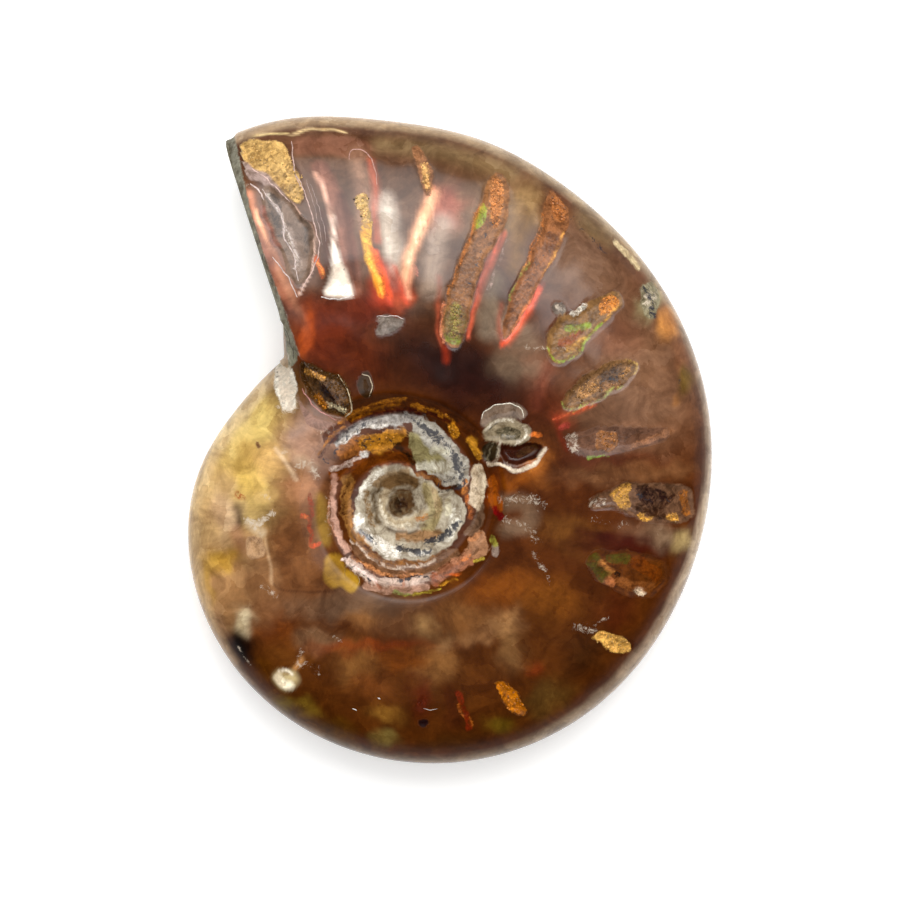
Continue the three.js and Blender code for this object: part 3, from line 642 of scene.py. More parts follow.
# soft tints in the nacre under the polish, with painted highlights and shade of its sheen: colour, share,
# softness, half width, points
SOFT_TINTS_AND_SHEEN = [
    # body chamber and the ribs beside it, with their fire, and the polish's sheen painted on the trough and
    # between the ribs
    ("#6e4c40", 0.8, 0.3, 0.9, [(-9.4, 33.2), (-6.6, 33.4), (-3.6, 32.8)]),
    ("#9a7868", 0.6, 0.6, 0.7, [(-4.2, 32.5), (-3.6, 29), (-3.4, 26)]),
    ("#7d5246", 0.8, 0.3, 0.8, [(-7.6, 31), (-6.4, 28.6), (-5.4, 26), (-4.8, 23), (-4.6, 20)]),
    # painted shade down the right side of the trough
    ("#4f3026", 0.75, 0.3, 0.4, [(-5.6, 28.6), (-5, 26.4), (-4.8, 23.6), (-4.4, 20.6)]),
    ("#4a2c22", 0.8, 0.3, 0.35, [(-7.4, 27), (-7, 24), (-6.9, 22)]),
    # the next three: pale nacre in the trough, brightened into a painted highlight of the polish's sheen,
    # with a crisp lower edge
    ("#e4b4a4", 0.85, 0.2, 0.12, [(-7.9, 30.6), (-7.2, 29), (-6.6, 27.2), (-6.4, 25)]),
    ("#e8cfc6", 0.9, 0.2, 0.16, [(-6.4, 26.6), (-6.3, 25), (-6.2, 23)]),
    ("#e8ddd6", 0.95, 0.3, 0, [
        (-6.5, 24.2), (-6.1, 24), (-5.6, 22.4), (-5, 20.8), (-4.4, 19.3), (-6, 19.1), (-7.4, 19.4),
        (-6.9, 20.4), (-6.4, 22)]),
    # the next three: painted sheen of the polish between the ribs
    ("#b4a69e", 0.85, 0.8, 0.85, [(-1.6, 28), (-1, 25), (-0.6, 21)]),
    ("#e6dcd6", 0.4, 0.45, 0.35, [(-1.5, 27), (-1.3, 25), (-1.3, 23), (-1.2, 21.6)]),
    ("#8f7d74", 0.85, 0.8, 0.9, [(3.8, 26), (2.9, 23), (2.6, 20)]),
    ("#b8604c", 0.8, 0.4, 0.25, [(-2.9, 31.8), (-2.4, 29.5), (-2.5, 27), (-2.3, 24.5)]),
    ("#e6a684", 0.95, 0.45, 0.5, [(2.9, 28.8), (2.1, 26.8), (1.2, 24.4), (0.5, 22.4), (0.3, 20.6)]),
    ("#f6ccaa", 0.85, 0.3, 0.16, [(1.9, 26.6), (1.2, 24.4), (0.7, 22.4)]),
    ("#8a3424", 0.85, 0.7, 0.6, [(-1.6, 22), (-0.8, 20.6), (0.4, 19.4)]),
    ("#eaa284", 0.8, 0.3, 0.25, [(0.9, 21.8), (0.5, 20.2), (0.6, 19.2)]),
    ("#b84434", 0.85, 0.35, 0.2, [(-2.2, 22.4), (-1.4, 20.2), (-1, 18.6)]),
    ("#bc4a34", 0.85, 0.3, 0.14, [(-0.6, 22), (-0.1, 20), (0.5, 18.6)]),
    # folds round the pool of clear calcite
    ("#6a5044", 0.7, 0.4, 0.4, [(-9.4, 31), (-8.5, 27.6), (-8, 24.4)]),
    ("#b87a62", 0.85, 0.25, 0.25, [(-14.2, 28.8), (-13.5, 26.4), (-12.9, 24.4)]),
    ("#8a5442", 0.85, 0.3, 0.25, [(-12.9, 24.4), (-12, 21.6), (-10.8, 19), (-10.4, 18.2)]),
    ("#f0b090", 0.85, 0.2, 0.16, [(-13.5, 27.2), (-13.1, 25.6), (-12.7, 24.6)]),
    ("#6a5048", 0.8, 0.3, 0.3, [(-13.2, 28.4), (-12.6, 26.4), (-11.8, 24.2), (-11, 22)]),
    # left of the navel
    ("#b8ac94", 0.7, 0.6, 0.6, [(-11.4, 13.4), (-11, 11), (-10.6, 9.6)]),
    ("#a08a78", 0.5, 0.5, 0.4, [(-9.6, 4), (-8.2, 3.4)]),
    ("#2c201c", 0.75, 0.45, 0.4, [(-15.3, -0.4), (-15.2, -1.8)]),
    ("#8a5a50", 0.4, 0.5, 0.6, [(-15.4, -2.6), (-15, -4)]),
    ("#b09c84", 0.8, 0.3, 0.4, [(-14.2, -1.8), (-13, -2.8)]),
    ("#a88a5c", 0.6, 0.3, 0.5, [(-13.4, 0.6), (-12, 0.8)]),
    ("#cfae8c", 0.5, 0.2, 0.1, [(-12.6, -3.4), (-12.4, -5.2), (-12.2, -7.4)]),
    ("#dcc2a8", 0.5, 0.2, 0.15, [(-11.8, 5), (-10.4, 3.4), (-9.8, 2.2)]),
    ("#2c1c12", 0.6, 0.15, 0.06, [(-12, -7.4), (-11.4, -8.1), (-9, -8.2), (-6, -8.1)]),
    # pale chip at the lower left
    ("#c0ac84", 0.9, 0.45, 0.65, [(-11.3, -16.2), (-10.7, -16.7), (-10.3, -16.2)]),
    ("#efe6d2", 0.95, 0.2, 0.35, [(-11.6, -16.2), (-11, -16.9), (-10.4, -16.9)]),
    ("#f4ece0", 0.9, 0.15, 0.12, [(-11.5, -15.7), (-10.8, -15.5), (-10.2, -15.9)]),
    ("#c08a58", 0.6, 0.25, 0.25, [(-9.9, -15.2), (-9.4, -14.4)]),
    # bright lines at the pool and along the outline above it
    ("#d8b4a8", 0.9, 0.12, 0.09, [
        (-12.9, 29.8), (-10.6, 28.2), (-9, 26.6), (-8.2, 24.6), (-8.1, 22.6), (-9, 20.6), (-9.6, 19.4)]),
    ("#d8c08c", 0.8, 0.12, 0.06, [(-14, 34.1), (-12.4, 34.5), (-10.6, 34.3)]),
    ("#d8bc90", 0.8, 0.12, 0.07, [(-10.2, 34.2), (-9, 34.8), (-6.4, 34.9), (-5.4, 34.5)]),
    ("#7c6a50", 0.5, 0.8, 0.7, [(-2, 33.4), (2, 33.2), (6, 32.2), (10, 30.8)]),
    # fire beside the third furrow and along the edges of the next two
    ("#e0902e", 0.9, 0.15, 0.3, [(-3.4, 25.2), (-3, 22.8), (-2.4, 20.8), (-1.9, 19.6)]),
    ("#d85430", 0.85, 0.2, 0.22, [(-2.5, 23.4), (-1.8, 21.4), (-1, 19.2)]),
    ("#d4604a", 0.85, 0.22, 0.1, [
        (9.5, 25.2), (8.3, 22.8), (7.6, 21.3), (7, 19.4), (6.5, 17.4), (6.1, 15.4)]),
    ("#e8583a", 0.9, 0.22, 0.2, [(12.9, 20), (12.1, 18.6), (11, 16.8), (9.9, 15.2), (9.4, 14.8)]),
    ("#c8664a", 0.6, 0.2, 0.1, [(3.4, 18.4), (3.2, 16.4), (3.7, 14.8)]),
    # yellow and green nacre beside the navel
    ("#93702e", 0.85, 0.2, 0, [
        (-7, -4.8), (-5.7, -4.6), (-5.2, -6), (-5.3, -7.6), (-6.3, -8), (-7.3, -7.2), (-7.4, -6)]),
    ("#9c782c", 0.85, 0.2, 0, [
        (-5.6, -6.3), (-4.8, -6.2), (-4, -7.2), (-4.2, -8.2), (-5, -8.3), (-5.8, -7.6)]),
    ("#94783e", 0.6, 0.4, 0, [(-8.1, 1.2), (-7.2, 0.6), (-6.9, -2), (-6.6, -4), (-7.5, -4), (-8, -2)]),
    ("#1a120e", 0.8, 0.9, 0.6, [(-15.3, -12.6), (-14.8, -14)]),
    ("#6a5648", 0.7, 0.6, 0.8, [(9.4, 0), (11.6, 0.2), (12.2, -2), (9.8, -2.4)]),
    # red haloes beside the furrows, and dark folds between them
    ("#b45238", 0.7, 0.3, 0.1, [(9.6, 25), (8.5, 22.6), (7.6, 20.4), (6.9, 18), (6.2, 16)]),
    ("#8a3a28", 0.5, 0.4, 0.15, [(3.5, 21), (3.3, 18.4), (3.4, 16), (3.8, 14.6)]),
    ("#b03a20", 0.6, 0.4, 0.25, [(4.1, 14.4), (4.1, 13.2)]),
    ("#9a4030", 0.6, 0.35, 0.15, [(9.2, 18.4), (8.9, 16.6), (9.4, 15)]),
    ("#b04c34", 0.6, 0.35, 0.1, [(13.2, 20.4), (12, 17.8), (10.8, 15.8), (10, 14.8)]),
    ("#664a2c", 0.8, 0.6, 0.6, [(11.4, 27), (11, 24.4), (10.4, 21.8)]),
    ("#65574b", 0.8, 0.7, 0.7, [(8.8, 20.8), (8, 18), (7.8, 16)]),
    ("#8a4a3a", 0.35, 0.7, 0.4, [(13.6, 12.6), (12.8, 10.6), (12.4, 9)]),
    ("#a04830", 0.8, 0.25, 0.12, [(14.2, 7.9), (15.8, 8.3), (17.8, 9.2)]),
    ("#7a2820", 0.4, 0.3, 0.2, [(14.4, 8), (14.6, 6.6), (15.4, 5)]),
    ("#5a3a28", 0.4, 0.5, 0.3, [(16, 3.4), (20, 3), (24, 3.2)]),
    ("#86604c", 0.6, 0.3, 0.2, [(20.6, 7.4), (23.4, 7.2), (25.4, 7)]),
    ("#38200f", 0.7, 0.5, 0.4, [(16.4, -2.6), (19.6, -3.2), (23, -3.4)]),
]
# dark mottles: how dense, softness, half width, points
SPECKLED = [
    (1.2, 0.4, 0.5, [(1.4, 7.5), (3.2, 6.4), (4.6, 4.8), (5.6, 3.2), (5.6, 1.7)]),
    (0.6, 0.4, 0.5, arc(8, 75, 150)), (0.6, 0.5, 0.7, [(-4.6, 5.4), (-1, 6)]),
    (0.4, 0.5, 0.5, [(14.4, 27.4), (13.4, 24), (11.4, 20)]),
    (1, 0.5, 0.6, [(2.4, 6.6), (4, 5.4), (5.2, 3.6), (5.6, 2)]),
    (0.3, 0.4, 0.6, [(-5.6, 21.4), (-5.6, 19.8)]), (0.8, 0.4, 0.4, [(3.8, 2.2), (5.2, 2.4)]),
    (1.3, 0.5, 0.5, [(2.2, -3.6), (3.8, -3.2), (5.2, -2)]),
    (1.2, 0.5, 0.4, [(-3.8, -2.4), (-2.6, -3.6)]),
    (1.4, 0.4, 0.4, [(-0.2, -4.2), (1.4, -4.6), (2.6, -4.4)]),
    (0.5, 0.5, 0.4, [(1.6, 2), (3, 2.4), (5, 1.4)]),
    (0.9, 0.4, 0.4, [(-0.4, -7.2), (1.2, -7), (2.6, -6.6)]),
    (0.8, 0.4, 0.4, [(-4.4, -6.2), (-3, -7.2)]), (0.5, 0.5, 0.5, [(-11.8, 12.6), (-11, 9.4)]),
    (0.3, 0.5, 0.3, [(1.7, 1), (1.8, -0.6)]), (0.5, 0.5, 0.5, [(22, 0.8), (24, 0), (26, 0.8)]),
    (0.6, 0.4, 0.5, [(18.4, 11.2), (20.6, 12.2)]), (0.5, 0.4, 0.4, [(-15.4, 29.5), (-12, 20.5)]),
    (0.5, 0.3, 0.25, [(-13.4, 33.8), (-11.4, 33.7)]),
    (0.6, 0.4, 0.5, [(-8.6, 12.4), (-6.8, 10.4), (-5.6, 9)]),
    (0.5, 0.5, 0.5, [(16, 26.4), (18, 24.4), (19, 23)]), (1, 0.5, 0.6, [(22.8, 20), (23.4, 17.4)]),
    (0.3, 0.5, 0.5, [(7, 2.8), (7, 0.4)]), (0.4, 0.4, 0.4, [(19.4, -12.8), (20.4, -13.4)]),
    (0.5, 0.4, 0.3, [(9.6, -17.4), (10.8, -19.2)]),
    (0.4, 0.5, 0.6, [(9, 29), (8.2, 25.5), (6.8, 21.6), (5.2, 17.6)]),
    (0.3, 0.5, 0.4, [(25.6, 11.8), (26, 10.6)]),
]
# white flecks where the polish is bruised, as above
FROSTED = [
    (0.3, 0.6, 0.7, [(9.4, 0.2), (11.6, 0.6), (12.8, -0.2)]),
    (0.2, 0.6, 0.6, [(9.6, -1.6), (11.6, -2.2), (12.4, -3.4)]),
    (0.35, 0.4, 0.3, [(12.2, -4.6), (13, -6), (13.8, -7.4)]),
    (0.5, 0.4, 0.5, [(16.5, -11.4), (17.8, -11.8)]), (0.5, 0.3, 0.2, [(18.2, -11.2), (19, -10.6)]),
    (0.5, 0.4, 0.6, [(15.8, 6.2), (16, 5)]), (0.4, 0.4, 0.5, [(17.6, 0.1), (18.8, 0.2)]),
    (0, 0.5, 0.5, [(17.6, -1.4), (19.4, -2), (21, -2)]),
    (0.5, 0.5, 0.6, [(-9.6, 3.4), (-8.6, 3.8), (-8, 2.6)]),
    (0.2, 0.5, 0.3, [(-11.4, 4.7), (-10.8, 4.9)]),
    (0.1, 0.6, 0.5, [(-7.4, 6.6), (-5.6, 7.4), (-5.2, 6)]),
    (0.7, 0.3, 0.2, [(-15.1, -13.5), (-14.7, -14.2), (-14.3, -15)]),
    (0.4, 0.5, 0.4, [(-9.4, -13.6), (-10, -15), (-8.6, -14.8)]),
    (0.3, 0.5, 0.3, [(-7.8, -15), (-7.9, -16.2)]), (0.6, 0.4, 0.4, [(14.2, 18.4), (14.9, 17.9)]),
    (0.1, 0.4, 0.5, [(-2.2, 17), (-0.4, 17)]),
    (1.1, 0.8, 0.9, [(-11.2, 13.4), (-11, 11), (-10.6, 9.2)]),
    (0.6, 0.5, 0.6, [(-11.4, 15), (-11.2, 12)]),
    (0.5, 0.3, 0.2, [(-12.4, 28.8), (-11.4, 27.4), (-11, 26)]),
    (0.5, 0.3, 0.2, [(-10.6, 25), (-10.2, 23.4), (-9.8, 22)]),
    (0.5, 0.3, 0.25, [(-14.4, 29.6), (-13.4, 29)]),
    (0.8, 0.4, 0.4, [(-14.4, -1.4), (-13.6, -2), (-12.8, -1.4), (-12, -0.8)]),
    (0.5, 0.3, 0.2, [(-14.2, -1.8), (-12.9, -3)]), (0.3, 0.4, 0.4, [(-13.2, 0.7), (-12.4, 0.6)]),
    (0.3, 0.5, 0.5, [(-13, -8), (-12, -8.3)]), (0.5, 0.5, 0.6, [(22.4, 19.4), (23, 18), (23.4, 19.6)]),
    (0.2, 0.4, 0.3, [(-6.5, -12.2), (-5.6, -12.8)]),
    (0.3, 0.3, 0.3, [(15.4, 14.6), (11.2, 14.4), (11.6, 14.8)]),
    (0.3, 0.4, 0.5, [(-4.8, -6), (-3.6, -7)]), (0.2, 0.4, 0.4, [(1.4, -7), (3, -6.8)]),
    (0.2, 0.4, 0.4, [(-7, 0.4), (-6.8, -3)]),
]
DETAILS = [
    # fire along the first three furrows
    ("#c05a2c", 0, 0, 0.26, [(-7.8, 22.8), (-7.5, 21.2)]),
    ("#e8984c", 0, 0, 0.1, [(-7.7, 22.4), (-7.4, 21.1)]),
    ("#c8a86e", 0.7, 0, 0.5, [(-3.7, 28.4), (-3.4, 26.2)]),
    ("#d8a63c", 0, 0, 0.42, [(-3.4, 25.8), (-3.2, 24), (-2.9, 22.6)]),
    ("#e86c2c", 0, 0, 0.32, [(-2.8, 23.4), (-2.2, 21.2), (-1.7, 19.4)]),
    ("#ffd050", 0, 0, 0.14, [(-3.4, 24.6), (-2.9, 22.6), (-2.3, 20.8), (-1.8, 19.6)]),
    ("#d87c60", 0, 0, 0.06, [(3.3, 29.6), (2.6, 27.4), (1.9, 25.4), (1.4, 23.4), (1.3, 21)]),
    ("#c89c60", 0.9, 0, 0.3, [(2, 31.6), (2.5, 29.2)]),
    # fourth furrow
    ("#b87a4a", 0.95, 0, 0, [
        (8.4, 30.3), (9.2, 30.6), (9.5, 29), (9.2, 26.5), (8.4, 25.3), (8.2, 27.5)]),
    ("#8a9a34", 0.1, 0, 0, [
        (7.4, 27.9), (7.8, 27.5), (7.8, 26.2), (7.2, 25.3), (6.6, 25.4), (6.9, 26.6)]),
    ("#6c5836", 0.4, 0, 0, [(4, 18.7), (5.9, 18.6), (6, 16), (4.8, 14.4), (3.9, 16)]),
    ("#8a7c48", 0.9, 0, 0.5, [(5, 18.3), (4.8, 17), (4.9, 15.8)]),
    ("#8a9a3c", 0.2, 0, 0.3, [(4.4, 15.4), (5.2, 15.2)]),
    ("#b89a8c", 0, 0, 0.08, [(9.9, 24.4), (8.8, 22), (8, 19.8)]),
    ("#c87850", 0.2, 0, 0.12, [(3.8, 18.6), (3.6, 16.6), (4, 15)]),
    ("#b8703c", 0.5, 0, 0.14, [(7.2, 27.6), (6.4, 25), (5.4, 22.2), (4.4, 19.4)]),
    # fifth
    ("#9c6238", 0.7, 0, 0.45, [(14.4, 28.2), (14.6, 26.6)]),
    ("#b8703c", 0.5, 0, 0.12, [(13.2, 27), (12.4, 24.2), (11.2, 21.4)]),
    ("#c89048", 0.1, 0, 0.12, [(15, 25.2), (14.3, 23.4), (13.1, 21.3)]),
    ("#e87444", 0, 0, 0.1, [(12, 19), (10.8, 17), (9.8, 15.4)]),
    ("#e88a5c", 0, 0, 0.09, [(12.2, 19.4), (11, 17.5), (9.9, 15.7)]),
    ("#80904a", 0.2, 0, 0.1, [(10, 18.8), (10.8, 20.4), (11.8, 22.4)]),
    # sixth
    ("#c07a3a", 0.7, 0, 0, [(18.4, 18.9), (19.6, 19.6), (20.3, 18.8), (19.4, 17.6), (18.2, 17.4)]),
    ("#7f9030", 0.2, 0, 0.25, [(15.2, 16.2), (17.6, 16.6)]),
    ("#8a4a2c", 0.2, 0, 0.5, [(15, 15), (16.6, 15.6)]),
    ("#a87a38", 0.4, 0, 0.3, [(15.6, 14.4), (17, 15.4)]),
    ("#8faa3c", 0, 0, 0.1, [
        (18.6, 16.6), (17.4, 15.4), (16.4, 14), (15.2, 13.2), (14.1, 13.3), (13.6, 14.6)]),
    ("#d09a44", 0, 0, 0.12, [(18.8, 16.8), (20, 18.2)]),
    ("#d8d0c0", 0.8, 0, 0.3, [(15.8, 17.6), (16.8, 18.1)]),
    # seventh
    ("#4a3a30", 0.4, 0, 0.6, [(18.4, 11.4), (20.4, 12.3)]),
    ("#a0764a", 0.8, 0, 0.6, [(16.8, 10.5), (17.8, 11)]),
    ("#a0764a", 0.8, 0, 0.3, [(20.4, 12), (21.2, 12.4)]),
    ("#8a6444", 0.8, 0, 0.3, [(18.8, 10.7), (20.2, 11.2)]),
    ("#9aa44e", 0, 0, 0.09, [(20.6, 10.9), (18.5, 9.8), (16.5, 8.9), (15.2, 8.7), (14.8, 9.4)]),
    ("#b0904c", 0, 0, 0.1, [(21.7, 11.9), (22.2, 12.9), (20.8, 13.4)]),
    ("#d0603c", 0, 0, 0.09, [(14.1, 7.8), (15.8, 8.3), (17.5, 9)]),
    # eighth
    ("#8e5c30", 0.6, 0, 0, [(18, 4.9), (20.1, 4.9), (20.2, 6.6), (18.1, 6.8)]),
    ("#8e3a30", 0, 0, 0.25, [(14.8, 6.9), (15.3, 7.3)]),
    ("#7d9a40", 0, 0, 0.12, [(17.4, 4.4), (19.2, 4.3)]),
    ("#94674a", 0.1, 0, 0.25, [(21.4, 5.3), (23.4, 6.1), (25.2, 6.8)]),
    # ninth
    ("#b8883f", 0.6, 0, 0, [
        (19.2, 0.9), (19.8, 1.5), (21.3, 1.9), (21.6, 1.2), (21, 0.6), (21.4, 0), (20.8, -0.6),
        (20, -0.5), (19.8, 0.2)]),
    ("#c8923e", 0.8, 0, 0, [(21.7, -0.9), (22.6, -1.2), (23.4, -1.4), (22.9, -1.8), (22, -1.5)]),
    ("#c8923e", 0.8, 0, 0.3, [(24.8, -1.2), (25.5, -1.2)]),
    ("#2a1c14", 0.2, 0, 0.7, [(22.5, 1.1), (23, 0.3), (23.9, 0.6)]),
    ("#8a5428", 0.5, 0, 0.4, [(26.2, 0.8), (26.4, -0.6)]),
    ("#3a281e", 0.2, 0, 0.35, [(22, -0.4), (22.8, -0.8), (24.2, -1.1)]),
    ("#33241c", 0.2, 0, 0.3, [(23.2, -0.6), (24.4, 0), (25.2, 0.6)]),
    # tenth to fourteenth
    ("#4c4420", 0.2, 0, 0.7, [(17.8, -5.4), (18.8, -6.6)]),
    ("#4c4420", 0.2, 0, 0.4, [(19.4, -5), (21, -5.2)]),
    ("#6e3a1a", 0.1, 0, 0.6, [(22, -5.4), (23.6, -6.6)]),
    ("#7a4a2a", 0.2, 0, 0.5, [(20.6, -7.4), (22, -7.9), (23, -7.6)]),
    ("#a8663c", 0.3, 0, 0.4, [(19.1, -7.2), (19.5, -7.5)]),
    ("#c8b498", 0.8, 0, 0.25, [(21.8, -8.2), (22.3, -8.4)]),
    ("#1a0f08", 0, 0, 0.3, [(20, -6.6), (20.2, -6.8)]),
    ("#a86c34", 0.3, 0, 0.25, [(18.6, -5.6), (19.6, -6.4)]),
    ("#a35a22", 0.6, 0.15, 0.35, [(5.6, -19), (5.8, -19.5)]),
    ("#a35a22", 0.6, 0.1, 0.3, [(6.2, -20.3), (6.3, -20.6)]),
    ("#5a2a14", 0.2, 0.1, 0.5, [(1.8, -18.3), (1.8, -18.8)]),
    ("#6e2c12", 0, 0, 0.3, [(5.4, -17.6), (5.8, -19), (6.2, -21)]),
    # cream-lined hole
    ("#4a4436", 0.1, 0.25, 0, [
        (8.6, 6.3), (9.3, 7), (10.4, 7.2), (11.2, 6.9), (11.2, 6.2), (10.2, 5.8), (9.1, 5.9)]),
    ("#4a4436", 0, 0, 0.09, [(7.6, 6.5), (9, 7.4)]), ("#5a5040", 0, 0, 0.07, [(7.6, 6.1), (8.6, 6.8)]),
    ("#e8e0cc", 0, 0, 0.1, [(7.6, 6.8), (8.9, 7.6), (10.4, 7.7)]),
    ("#e8e0cc", 0.05, 0, 0.12, [(11.4, 7.3), (11.9, 6.6), (11.5, 5.9), (10.6, 5.5)]),
    ("#a89c86", 0, 0, 0.14, [(9.05, 5.8), (9, 4.4), (8.8, 3.8)]),
    ("#8a8068", 0, 0, 0.08, [(8.3, 5.5), (8.2, 4)]), ("#5a5040", 0, 0, 0.1, [(7.9, 5.5), (7.8, 4.1)]),
    ("#c8682a", 0, 0, 0.3, [(12.4, 6.3), (12.8, 6.2)]), ("#4a3424", 0, 0, 0.3, [(11, 4.6), (12.4, 5)]),
    # pool of clear calcite
    ("#4e423a", 0.05, 0, 0.5, [(-12, 28.4), (-11.6, 26.8), (-11.4, 25.2)]),
    ("#5a4c42", 0, 0, 0.3, [(-9.2, 26.8), (-8.7, 25), (-8.8, 23.4)]),
    ("#8c786a", 0, 0, 0.35, [(-10.4, 25.6), (-9.8, 23.6), (-9.7, 22)]),
    ("#85574a", 0, 0, 0.3, [(-12.9, 27.6), (-12.4, 25.6), (-11.6, 23.8)]),
    ("#e6d8d0", 0.1, 0, 0.1, [(-12.4, 28.6), (-11.6, 27.4), (-11, 26.4), (-11.1, 25)]),
    ("#e6d8d0", 0.1, 0, 0.08, [(-10.6, 25.4), (-10, 24), (-9.8, 22.6), (-10.2, 21.6)]),
    # sparks and fire left of the navel
    ("#c8502c", 0, 0, 0.22, [(-9.3, -1.2), (-8.5, -1.5)]),
    ("#e88440", 0, 0, 0.1, [(-9.1, -1.3), (-8.6, -1.4)]),
    ("#c8502c", 0, 0, 0.18, [(-8.4, -3.8), (-7.6, -3.8)]),
    ("#a8643c", 0.1, 0, 0.25, [(-15.2, 0.9), (-14.8, 0.5)]),
    ("#8a3a20", 0, 0, 0.2, [(-8.5, 0.6), (-8.5, -1), (-8.3, -3.4)]),
    # crumbs and rims in the flaked hole
    ("#c89048", 0.9, 0, 0.3, [(-8.8, 12.2), (-7.4, 11.6)]),
    ("#d8c8a0", 0.9, 0, 0.22, [(-6.8, 9.2), (-5.4, 8.6)]),
    ("#2c1c12", 0.2, 0, 0.35, [(-7.4, 10.6), (-6.4, 9.9)]),
    ("#b9762a", 0.8, 0, 0.25, [(-8, 9.9), (-7, 9)]),
    # navel
    ("#b9762a", 0.4, 0, 0.16, arc(9.6, 88, 128)), ("#c07c28", 0.5, 0, 0.14, arc(9.1, 58, 84)),
    ("#9a5f20", 0.4, 0, 0.14, arc(9.2, 92, 120)), ("#a86a24", 0.4, 0, 0.14, arc(9.0, 126, 148)),
    ("#c8882c", 0.6, 0, 0.35, [(4.6, 7.2), (5, 6.4)]), ("#26201a", 0.2, 0, 0.1, arc(8.5, 76, 140)),
    ("#3a1e0c", 0.1, 0, 0.16, arc(8.75, 60, 150)),
    ("#2a1a10", 0.1, 0, 0.12, [(-5.4, 6.6), (-4.4, 7.4), (-3.4, 8)]),
    ("#d8d2c8", 0.3, 0, 0.2, [(-5.6, 5.6), (-4.6, 6.5), (-3.2, 7.1), (-1.4, 7.4)]),
    ("#c9b4a6", 0.1, -0.15, 0.2, [(-6.6, 3.2), (-5, 3.7), (-3.8, 4.2)]),
    ("#d8d4cc", 0.2, -0.1, 0.3, [(-3.6, 4.5), (-3.4, 4.6)]),
    ("#efeade", 0.05, 0, 0.5, [(-4.1, -1.4), (-3.2, -3.1), (-1.6, -4.2), (-0.4, -4.5)]),
    ("#dcd8ca", 0.05, 0, 0.3, [(-4, 0.6), (-3.2, 2), (-1.8, 3)]),
    ("#e2dece", 0.1, 0, 0.38, [(5, -0.8), (4.9, -2), (4.2, -3.2)]),
    ("#e6e2d6", 0.1, 0, 0.2, [(1, -4.7), (2.6, -4.4)]), ("#dcd4be", 0, 0, 0.13, arc(2.15, 170, 290)),
    ("#7c603e", 0.1, 0, 0.32, [(-3.1, 1), (-3.4, 0.4), (-3.2, -0.8), (-2.6, -1.9)]),
    ("#a08a66", 0.1, 0, 0.3, [(2.8, 1.4), (3.2, 0.2), (3.2, -1)]),
    ("#c4bca0", 0.1, 0, 0.35, [(4.2, 0.4), (4.4, -0.8)]),
    ("#8a5a30", 0.2, 0, 0.25, [(1.5, 2.7), (2.6, 2.3), (3.4, 2.2)]),
    ("#6f7480", 0.2, 0, 0.2, [(-3.8, -2.6), (-3, -3.4)]),
    ("#54504e", 0.2, 0, 0.14, [(3.4, -3.6), (4.4, -3), (5, -2)]),
    ("#7a5434", 0.2, 0, 0.12, [
        (-4.5, -2), (-3.6, -3.7), (-2, -5), (0, -5.5), (2.2, -5.3), (4.2, -4.3)]),
    ("#a8743c", 0.2, 0, 0.14, arc(5.0, 155, 235)), ("#4a2c1a", 0.1, 0, 0.12, arc(5.5, 160, 240)),
    ("#d8c4b0", 0.1, 0, 0.1, arc(5.9, 215, 300)), ("#c08a6c", 0.1, 0, 0.12, arc(6.9, 165, 205)),
    # painted shadow between the gold crust and the olive stone
    ("#33261a", 0.1, 0, 0.3, [(-0.4, 5.3), (0.6, 4.6), (1, 3.8)]),
    ("#8a5a44", 0.2, 0, 0.14, [(-2.7, -6.6), (-1.9, -7.8)]),
    ("#9a6a50", 0.2, 0, 0.16, [(0.4, -6.4), (0.1, -7.8)]),
    ("#8a5038", 0.2, 0, 0.16, [(2.8, -6.3), (3.2, -7.4)]),
    ("#c88858", 0.2, 0, 0.14, [(-4.6, -5), (-2.6, -6.2), (-0.4, -6.7), (1.8, -6.5)]),
    ("#b07a5c", 0.2, 0, 0.3, [(4.8, -5.4), (6, -4.6)]),
    ("#2c241e", 0.2, 0, 0.14, [(3.4, 1.4), (4.4, 1.2), (5.4, 1.7)]),
    ("#b8702c", 0.2, 0, 0.3, [(5.8, 2), (6, 1)]), ("#b0743c", 0.2, 0, 0.2, [(1.6, -1.5), (2.2, -1.1)]),
    ("#c06a2c", 0.1, 0, 0.12, [(6.2, 0.6), (6.3, -1.4)]),
    ("#2e2218", 0.05, 0, 0, oval(-0.2, -0.2, 0.75, 0.7)), ("#7a6a52", 0, 0, 0.09, arc(1.05, 60, 330)),
    ("#6a5a44", 0, 0, 0.08, arc(0.6, 40, 300)), ("#86765e", 0, 0, 0.08, arc(1.35, 120, 350)),
    ("#b4a440", 0.2, 0, 0.12, [(0.2, -8.5), (1.8, -8.5), (3.4, -7.9)]),
    ("#7a9a4a", 0.2, 0, 0.12, [(-0.8, -8.3), (0.6, -8.4)]),
    ("#d86a30", 0, 0, 0.1, [(4, -7), (4.6, -6.6), (5, -6.8), (5.6, -6.5)]),
    ("#8f8a3c", 0.2, 0, 0.3, [(8.6, -3.4), (8.8, -3.9)]),
    ("#b09a40", 0.2, 0, 0.2, [(6.7, -5.4), (7.3, -5.1)]),
    ("#c08830", 0.3, 0, 0.12, [(3.6, -7.6), (5.2, -7.2)]),
    ("#e6cfc4", 0.2, 0, 0.16, [(-5.4, -5.2), (-4, -6.2), (-2.4, -7)]),
    ("#8a5a28", 0.3, 0, 0.14, arc(5.6, -140, -60)),
    ("#e2d2b4", 0.1, 0, 0.14, [(6.8, 3.4), (7.5, 2), (7.4, 0.4)]),
    ("#c8885c", 0.1, 0, 0.2, [(6.4, -3.6), (7.2, -3)]),
    ("#d0783c", 0.2, 0, 0.14, [(5.2, -5.6), (6.2, -4.8)]),
]

